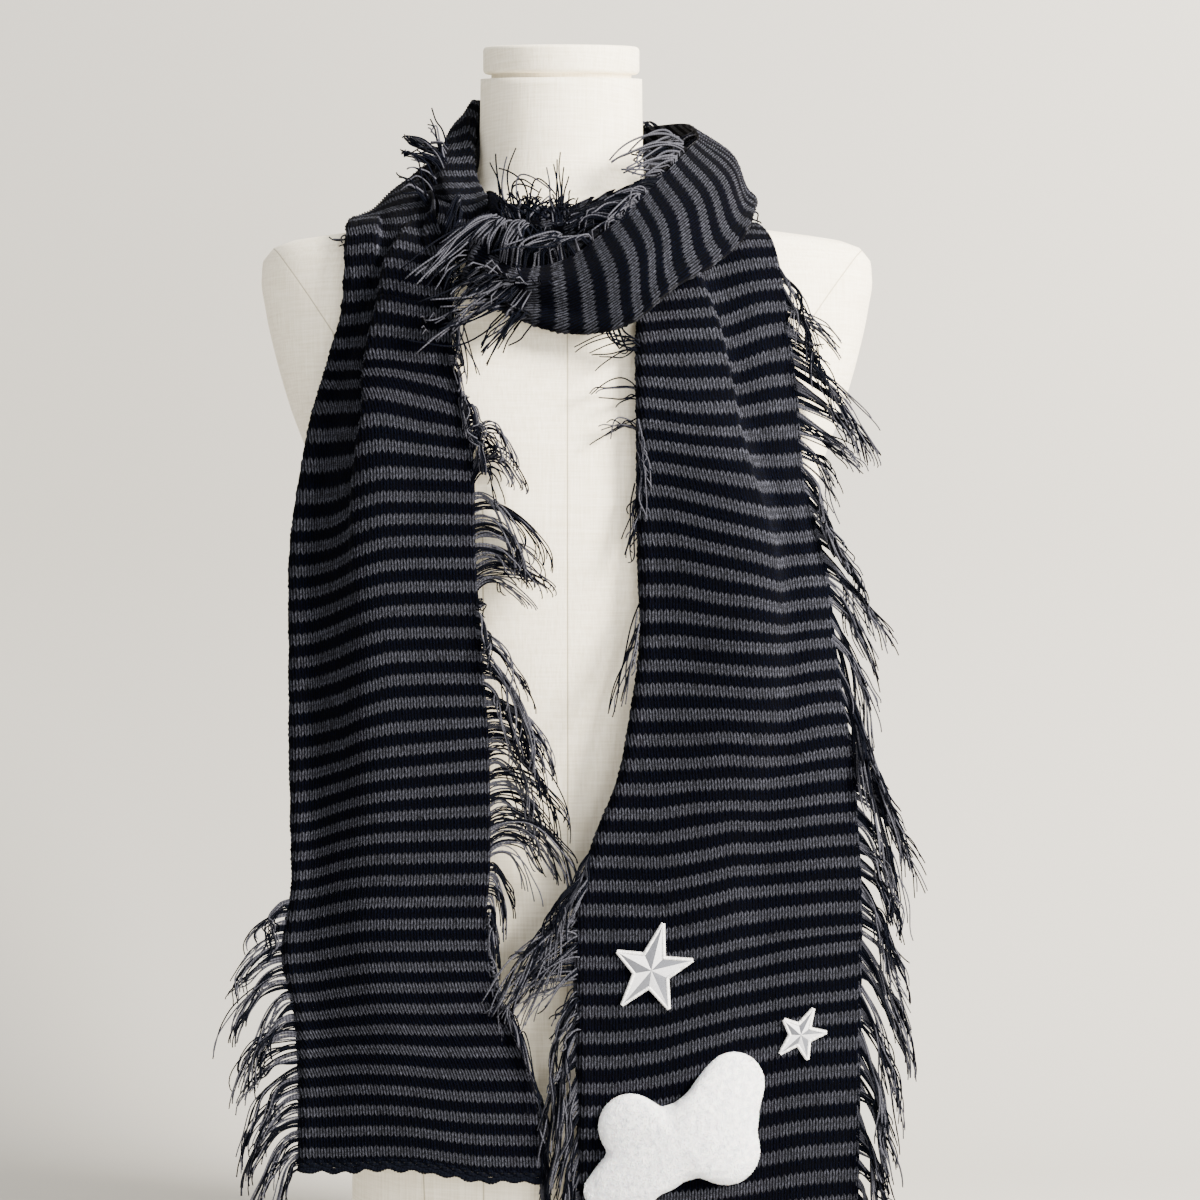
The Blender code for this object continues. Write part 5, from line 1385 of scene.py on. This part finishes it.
# name and solid it stands for, strip, where it starts along, way along, clusters, on the curled edge,
# reach, how it hangs, share of its grey ends left grey; the others are painted black, as painted shade
# where the run lies in shade
fringeRuns = (
    (("leftInnerYarn", "fringe_left_inner"), overStrip, leftTop + 28.0, 1.0, leftInnerFringe, False, right,
     "springing", 1.0),
    (("leftOuterYarn", "fringe_left_outer"), overStrip, leftTop + 385.0, 1.0, leftOuterFringe, True, left,
     "springing", 1.0),
    (("rightOuterYarn", "fringe_right_outer"), underStrip, rightTop - 90.0, -1.0, rightOuterFringe, False,
     right, "hanging", 1.0),
    (("rightInnerYarn", "fringe_right_inner"), underStrip, rightTop - 468.0, -1.0, rightInnerFringe, True,
     left, "hanging", 1.0),
    (("ridgeYarn", "fringe_ridge"), overStrip, loopEnd - 60.0, -1.0, ridgeFringe, False, left,
     "hanging", 0.35),
    (("collarYarn", "fringe_collar"), underStrip, rightTop + 290.0, 1.0, collarFringe, False, left,
     "springing", 0.6),
    (("backYarn", "fringe_back"), overStrip, loopEnd + 20.0, 1.0, backFringe, False, None,
     "springing", 0.8),
)
for (name, node), strip, start, way, clusters, folded, reachAxis, hang, unshadedGreyShare in fringeRuns:
    lines, shades = fringeLines(strip, start, way, clusters, folded, reachAxis, hang, unshadedGreyShare)
    settle(tubes(name, lines, yarnSize["radius"], shades, yarn), "cut_yarn", node)
looseRuns = (
    ("neckTangle", bunchLines(neckBunches), yarnSize["tangleRadius"]),
    ("thickEnds", bunchLines(thickBunches), yarnSize["thickRadius"]),
    ("panelTangle", bunchLines(panelBunches), yarnSize["radius"]),
    ("standingEnds", standingLines(), yarnSize["tangleRadius"]),
)
for name, (lines, shades), radius in looseRuns:
    settle(tubes(name, lines, radius, shades, yarn), "cut_yarn")
print("fringe hung")


# Embroidered stars: satin stitch in ten facets, with a raised white border

starSize = {
    "gap": 0.3,
    "rim": 1.3,              # height of the embroidery at its edge
    "ridge": 2.1,            # along the lines from the middle to the tips
    "middle": 2.7,
    "innerRadius": 0.40,     # share of the tips' mean length
    "threads": 26,           # across each facet
    "threadRise": 0.12,
    "borderPitch": 0.55,
    "borderWidth": 2.3,
    "borderThread": 0.42,
    "threadBulge": 0.15,
    # the backing's tone lies halfway between the painted shade and the painted lit tone
    "backing": 0.5,          # tone of the plain backing
    # across the border, in half widths, and its height
    "borderArch": ((-1.0, 0.35), (-0.6, 1.5), (0.0, 2.0), (0.6, 1.5), (1.0, 0.35)),
    "sightFrom": -400.0,     # y in front of everything, from which the panel is found
}
starLook = {
    # Lit and shaded copies of the same white thread: painted light and painted shade on the facets
    "paintedLitFacet": "#dcdde2",
    "paintedShadedFacet": "#5c5f68",
    "border": "#f8f8f8",
    "lint": 900.0,           # loose fibres per metre, drawn as noise
    "bumpDepth": 0.0002,     # metres
}
# centre (x, z) on the right panel, and each tip's bearing and length
starPatches = (
    ("starLarge", "star_large", (57, 227),
     ((14, 31.7), (76, 27.8), (156, 27.8), (220, 30), (298, 25.5))),
    ("starSmall", "star_small", (155, 184),
     ((26, 18.9), (86, 16.8), (165, 16.9), (227, 18.3), (312, 14.6))),
)


def onPanel(x, z, height):
    # A point this high over the crowns of the right panel's stitches
    place, normal = underTree.ray_cast(Vector((x, starSize["sightFrom"], z)), back)[:2]
    if normal.y > 0.0:
        normal = -normal
    level = clothForm["halfWall"] + knitSize["relief"] + height
    return np.array(place + normal * level)


def satinMaterial():
    # Rayon satin stitch: smooth thread laid side by side, bright along one way and dull along the other;
    # that light is painted into the colour, one facet of each point in painted shade and the other painted
    # lit
    finish, shader, add = newMaterial("satinStitch", {
        "Roughness": 0.38, "IOR": 1.5, "Anisotropic": 0.5, "Sheen Weight": 0.1, "Specular IOR Level": 0.6})
    paintedFacetLight = attributeParts(add, "yarn")[0]
    # Painted light: each point's one facet in painted shade, the other in a painted lit tone
    colour = add("Mix", {"Factor": paintedFacetLight, 6: linear(starLook["paintedShadedFacet"]), 7: linear(starLook["paintedLitFacet"])},
                 data_type="RGBA")
    place = add("TexCoord").outputs["Object"]
    lint = add("TexNoise", {"Vector": place, "Scale": starLook["lint"], "Detail": 2.0}).outputs["Fac"]
    level = add("MapRange", {0: lint, 1: 0.3, 2: 0.7, 3: 0.88, 4: 1.05})
    scaled = add("VectorMath", {0: colour, "Scale": level}, operation="SCALE")
    bump = add("Bump", {"Height": lint, "Strength": 0.2, "Distance": starLook["bumpDepth"]})
    feed(shader, {"Base Color": scaled, "Normal": bump})
    return finish


def borderMaterial():
    # White rayon, packed close over a cord: the same thread, brighter
    finish, shader, add = newMaterial("whiteSatinBorder", {
        "Roughness": 0.45, "IOR": 1.5, "Sheen Weight": 0.1, "Specular IOR Level": 0.5})
    thread = attributeParts(add, "yarn")[2]
    level = add("MapRange", {0: thread, 1: 0.85, 2: 1.15, 3: 0.9, 4: 1.0})
    white = add("RGB").outputs[0]
    white.default_value = linear(starLook["border"])
    feed(shader, {"Base Color": add("VectorMath", {0: white, "Scale": level}, operation="SCALE")})
    return finish


def starOutline(centre, tips):
    mean = sum(length for angle, length in tips) / len(tips)
    outline = []
    for i, (angle, length) in enumerate(tips):
        following = tips[(i + 1) % len(tips)][0] + (360.0 if i + 1 == len(tips) else 0.0)
        for turn, radius in ((angle, length), ((angle + following) / 2.0, mean * starSize["innerRadius"])):
            turn = math.radians(turn)
            outline.append(np.array(centre) + radius * np.array((math.sin(turn), math.cos(turn))))
    return outline


def starMesh(centre, outline):
    points, faces, tones = [], [], []
    middle = np.array(centre)
    for i in range(0, len(outline), 2):
        tip = outline[i]
        for side, inner in enumerate((outline[i - 1], outline[i + 1])):
            first = len(points)
            threads = 2 * starSize["threads"]
            toInner = np.linalg.norm(inner - middle)
            around = toInner + np.linalg.norm(tip - inner)
            for step in range(threads + 1):
                u = step / threads
                ridge = middle + (tip - middle) * u
                length = u * around
                if length < toInner:
                    rim = middle + (inner - middle) * (length / toInner)
                    rise = starSize["rim"] - starSize["middle"]
                    rimHeight = starSize["middle"] + rise * length / toInner
                else:
                    rim = inner + (tip - inner) * ((length - toInner) / (around - toInner))
                    rimHeight = starSize["rim"]
                ridgeHeight = starSize["middle"] + (starSize["ridge"] - starSize["middle"]) * u
                thread = starSize["threadRise"] * (1.0 if step % 2 else -1.0)
                for v in (0.0, 0.5, 1.0):
                    place = ridge * (1.0 - v) + rim * v
                    height = (ridgeHeight * (1.0 - v) + rimHeight * v + thread
                              + starSize["threadBulge"] * math.sin(math.pi * v))
                    points.append(onPanel(place[0], place[1], starSize["gap"] + height))
            for step in range(threads):
                for v in range(2):
                    a = first + step * 3 + v
                    face = (a, a + 3, a + 4, a + 1)
                    faces.append(face if side else face[::-1])
            # Side 0 of each point takes the painted shade, side 1 the painted lit tone
            tones += [(float(side), 0.0, 1.0)] * (len(points) - first)
    # A plain backing closes it against the knit
    rimStart = len(points)
    for corner in outline:
        points.append(onPanel(corner[0], corner[1], starSize["gap"]))
        points.append(onPanel(corner[0], corner[1], starSize["gap"] + starSize["rim"]))
    count = len(outline)
    for i in range(count):
        j = (i + 1) % count
        faces.append((rimStart + 2 * i, rimStart + 2 * j, rimStart + 2 * j + 1, rimStart + 2 * i + 1))
    faces.append(tuple(rimStart + 2 * i for i in range(count - 1, -1, -1)))
    tones += [(starSize["backing"], 0.0, 1.0)] * (len(points) - rimStart)
    return points, faces, tones


def borderLines(outline):
    # Short threads laid across the outline, over its raised edge
    lines = []
    half = starSize["borderWidth"] / 2.0
    count = len(outline)
    for i in range(count):
        a, b = outline[i], outline[(i + 1) % count]
        length = np.linalg.norm(b - a)
        along = (b - a) / length
        across = np.array((along[1], -along[0]))
        steps = max(int(length / starSize["borderPitch"]), 3)
        for step in range(steps):
            place = a + (b - a) * (step + 0.5) / steps
            line = []
            for share, height in starSize["borderArch"]:
                spot = place + across * share * half
                line.append(onPanel(spot[0], spot[1], starSize["gap"] + height))
            lines.append(line)
    return np.array(lines)


satin = satinMaterial()
whiteSatin = borderMaterial()
for name, node, centre, tips in starPatches:
    outline = starOutline(centre, tips)
    points, faces, tones = starMesh(centre, outline)
    star = meshObject(name, points, faces, satin, {"yarn": tones})
    settle(star, "satin_stitch", node)
    lines = borderLines(outline)
    tones = np.ones(len(lines))
    border = tubes(name + "Border", lines, starSize["borderThread"], tones, whiteSatin, tip=1.0)
    settle(border, "satin_stitch")
print("stars sewn on")


# Plush bone: a stuffed patch with a short dense pile

boneSize = {
    "centre": (73.5, 116.5),
    "segments": 120,
    "rings": 20,
    "height": 14.5,
    "edge": 0.3,
    "pile": 5.4,
    "pileRadius": 0.32,
    "hairs": 7500,
    "lean": (0.2, -0.9, -0.5),   # the way the pile is brushed
    "leanSpread": 0.35,
    "lengths": (0.6, 0.5),   # a hair's least share of the pile, and how much more at most
    "rooted": 0.3,           # mm that a hair starts inside
    "fullness": 0.85,        # below 1 the stuffing rises sooner from the rim
    "rimTuck": 0.97,
    "soften": (4, 60),       # times that the outline is evened at the rim and towards the middle
}
plushLook = {
    "pile": "#fbfbfb",
    # greyer: painted shade among the hairs, at their roots
    "root": "#d2d3d9",
    "clumpsAndShade": 260.0,         # clumps of pile per metre
    "bumpDepth": 0.0008,     # metres
}
# Round lumps of the bone: x and z from its centre, radius
boneLumps = (
    (-30, 7.5, 22), (-39, -35, 22), (36.5, 35.5, 22), (32.5, -8.5, 22.5), (34, 14, 20), (-15, -11, 25.5),
    (1.5, -2.5, 25.5), (18, 6, 25.5),
)


def boneRadius(angle):
    c, s = math.cos(angle), math.sin(angle)
    furthest = 0.0
    for x, z, radius in boneLumps:
        beside = x * s - z * c
        if abs(beside) < radius:
            furthest = max(furthest, x * c + z * s + math.sqrt(radius ** 2 - beside ** 2))
    return furthest


def plushMaterial():
    # Polyester plush: white, matt, with a soft glow along its edges from the pile
    finish, shader, add = newMaterial("whitePlush", {
        "Roughness": 1.0, "IOR": 1.5, "Sheen Weight": 0.5, "Sheen Roughness": 0.4,
        "Specular IOR Level": 0.15, "Subsurface Weight": 0.15, "Subsurface Scale": 0.004})
    place = add("TexCoord").outputs["Object"]
    clumpsAndShade = add("TexNoise", {"Vector": place, "Scale": plushLook["clumpsAndShade"], "Detail": 3.0}).outputs["Fac"]
    # Painted shade in the pile: greyer towards the hairs' roots and where the clump noise is low, whiter at
    # the tips and on the clumps
    run = attributeParts(add, "yarn")[1]
    paintedRootShadeFade = add("MapRange", {0: run, 1: 0.0, 2: boneSize["pile"], 3: 0.0, 4: 0.6})
    both = add("Math", {0: clumpsAndShade, 1: paintedRootShadeFade}, operation="ADD")
    blend = add("MapRange", {0: both, 1: 0.35, 2: 0.75})
    colour = add("Mix", {"Factor": blend, 6: linear(plushLook["root"]), 7: linear(plushLook["pile"])},
                 data_type="RGBA")
    bump = add("Bump", {"Height": clumpsAndShade, "Strength": 0.35, "Distance": plushLook["bumpDepth"]})
    feed(shader, {"Base Color": colour, "Normal": bump})
    return finish


def evened(radii, turns):
    for turn in range(turns):
        radii = (np.roll(radii, 1) + 2.0 * np.asarray(radii) + np.roll(radii, -1)) / 4.0
    return radii


def boneMesh():
    width, rings = boneSize["segments"], boneSize["rings"]
    # The seam's corners between the lumps are drawn soft, and die away towards the middle
    atRim, atMiddle = boneSize["soften"]
    outline = evened([boneRadius(math.tau * i / width) for i in range(width)], atRim)
    rounded = evened(outline, atMiddle)
    points = []
    for ring in range(rings):
        share = math.cos(math.pi / 2.0 * ring / rings)
        rise = math.sin(math.pi / 2.0 * ring / rings) ** boneSize["fullness"]
        # The rim bulges over its seam
        over = share if ring else boneSize["rimTuck"]
        for i in range(width):
            angle = math.tau * i / width
            radius = (outline[i] * share ** 4 + rounded[i] * (1.0 - share ** 4)) * over
            x = boneSize["centre"][0] + radius * math.cos(angle)
            z = boneSize["centre"][1] + radius * math.sin(angle)
            points.append(onPanel(x, z, boneSize["edge"] + boneSize["height"] * rise))
    points.append(onPanel(*boneSize["centre"], boneSize["edge"] + boneSize["height"]))
    faces = bandFaces(rings, width)
    top = len(points) - 1
    last = (rings - 1) * width
    faces += [(last + i, last + (i + 1) % width, top) for i in range(width)]
    faces.append(tuple(range(width - 1, -1, -1)))
    return np.array(points), faces


def pileLines(points, faces):
    # Short hairs from random places on the bone's front, all brushed roughly one way
    small = [face for face in faces if len(face) < 10]
    triangles = np.array([(face[0], face[k], face[k + 1])
                          for face in small for k in range(1, len(face) - 1)])
    a, b, c = points[triangles[:, 0]], points[triangles[:, 1]], points[triangles[:, 2]]
    normal = np.cross(b - a, c - a)
    area = np.linalg.norm(normal, axis=1)
    normal = normal / np.maximum(area[:, None], 1e-9)
    pick = chance.choice(len(triangles), boneSize["hairs"], p=area / area.sum())
    u, v = chance.random((2, boneSize["hairs"], 1))
    flip = u + v > 1.0
    u, v = np.where(flip, 1.0 - u, u), np.where(flip, 1.0 - v, v)
    root = a[pick] + (b - a)[pick] * u + (c - a)[pick] * v
    out = normal[pick]
    lean = boneSize["leanSpread"] * chance.standard_normal((boneSize["hairs"], 3)) + boneSize["lean"]
    lean = lean - out * (lean * out).sum(axis=1, keepdims=True)
    size = boneSize["pile"] * varied(boneSize["lengths"], (boneSize["hairs"], 1))
    middle = root + out * size * 0.45 + lean * size * 0.15
    tip = root + out * size * 0.75 + lean * size * 0.55
    return np.stack([root - out * boneSize["rooted"], middle, tip], axis=1)


plush = plushMaterial()
bonePoints, boneFaces = boneMesh()
boneFaces = [tuple(face)[::-1] for face in boneFaces]
bone = meshObject("plushBone", bonePoints, boneFaces, plush, {"yarn": np.zeros((len(bonePoints), 3))})
settle(bone, "white_plush", "bone_patch")
hairs = pileLines(bonePoints, boneFaces)
pile = tubes("bonePile", hairs, boneSize["pileRadius"], np.ones(len(hairs)), plush, sides=3, tip=0.3)
settle(pile, "white_plush")
print("bone stuffed")

# The ribbon is 0.19 m wide, with the edges that roll under
print("cloth's flat sizes stated")
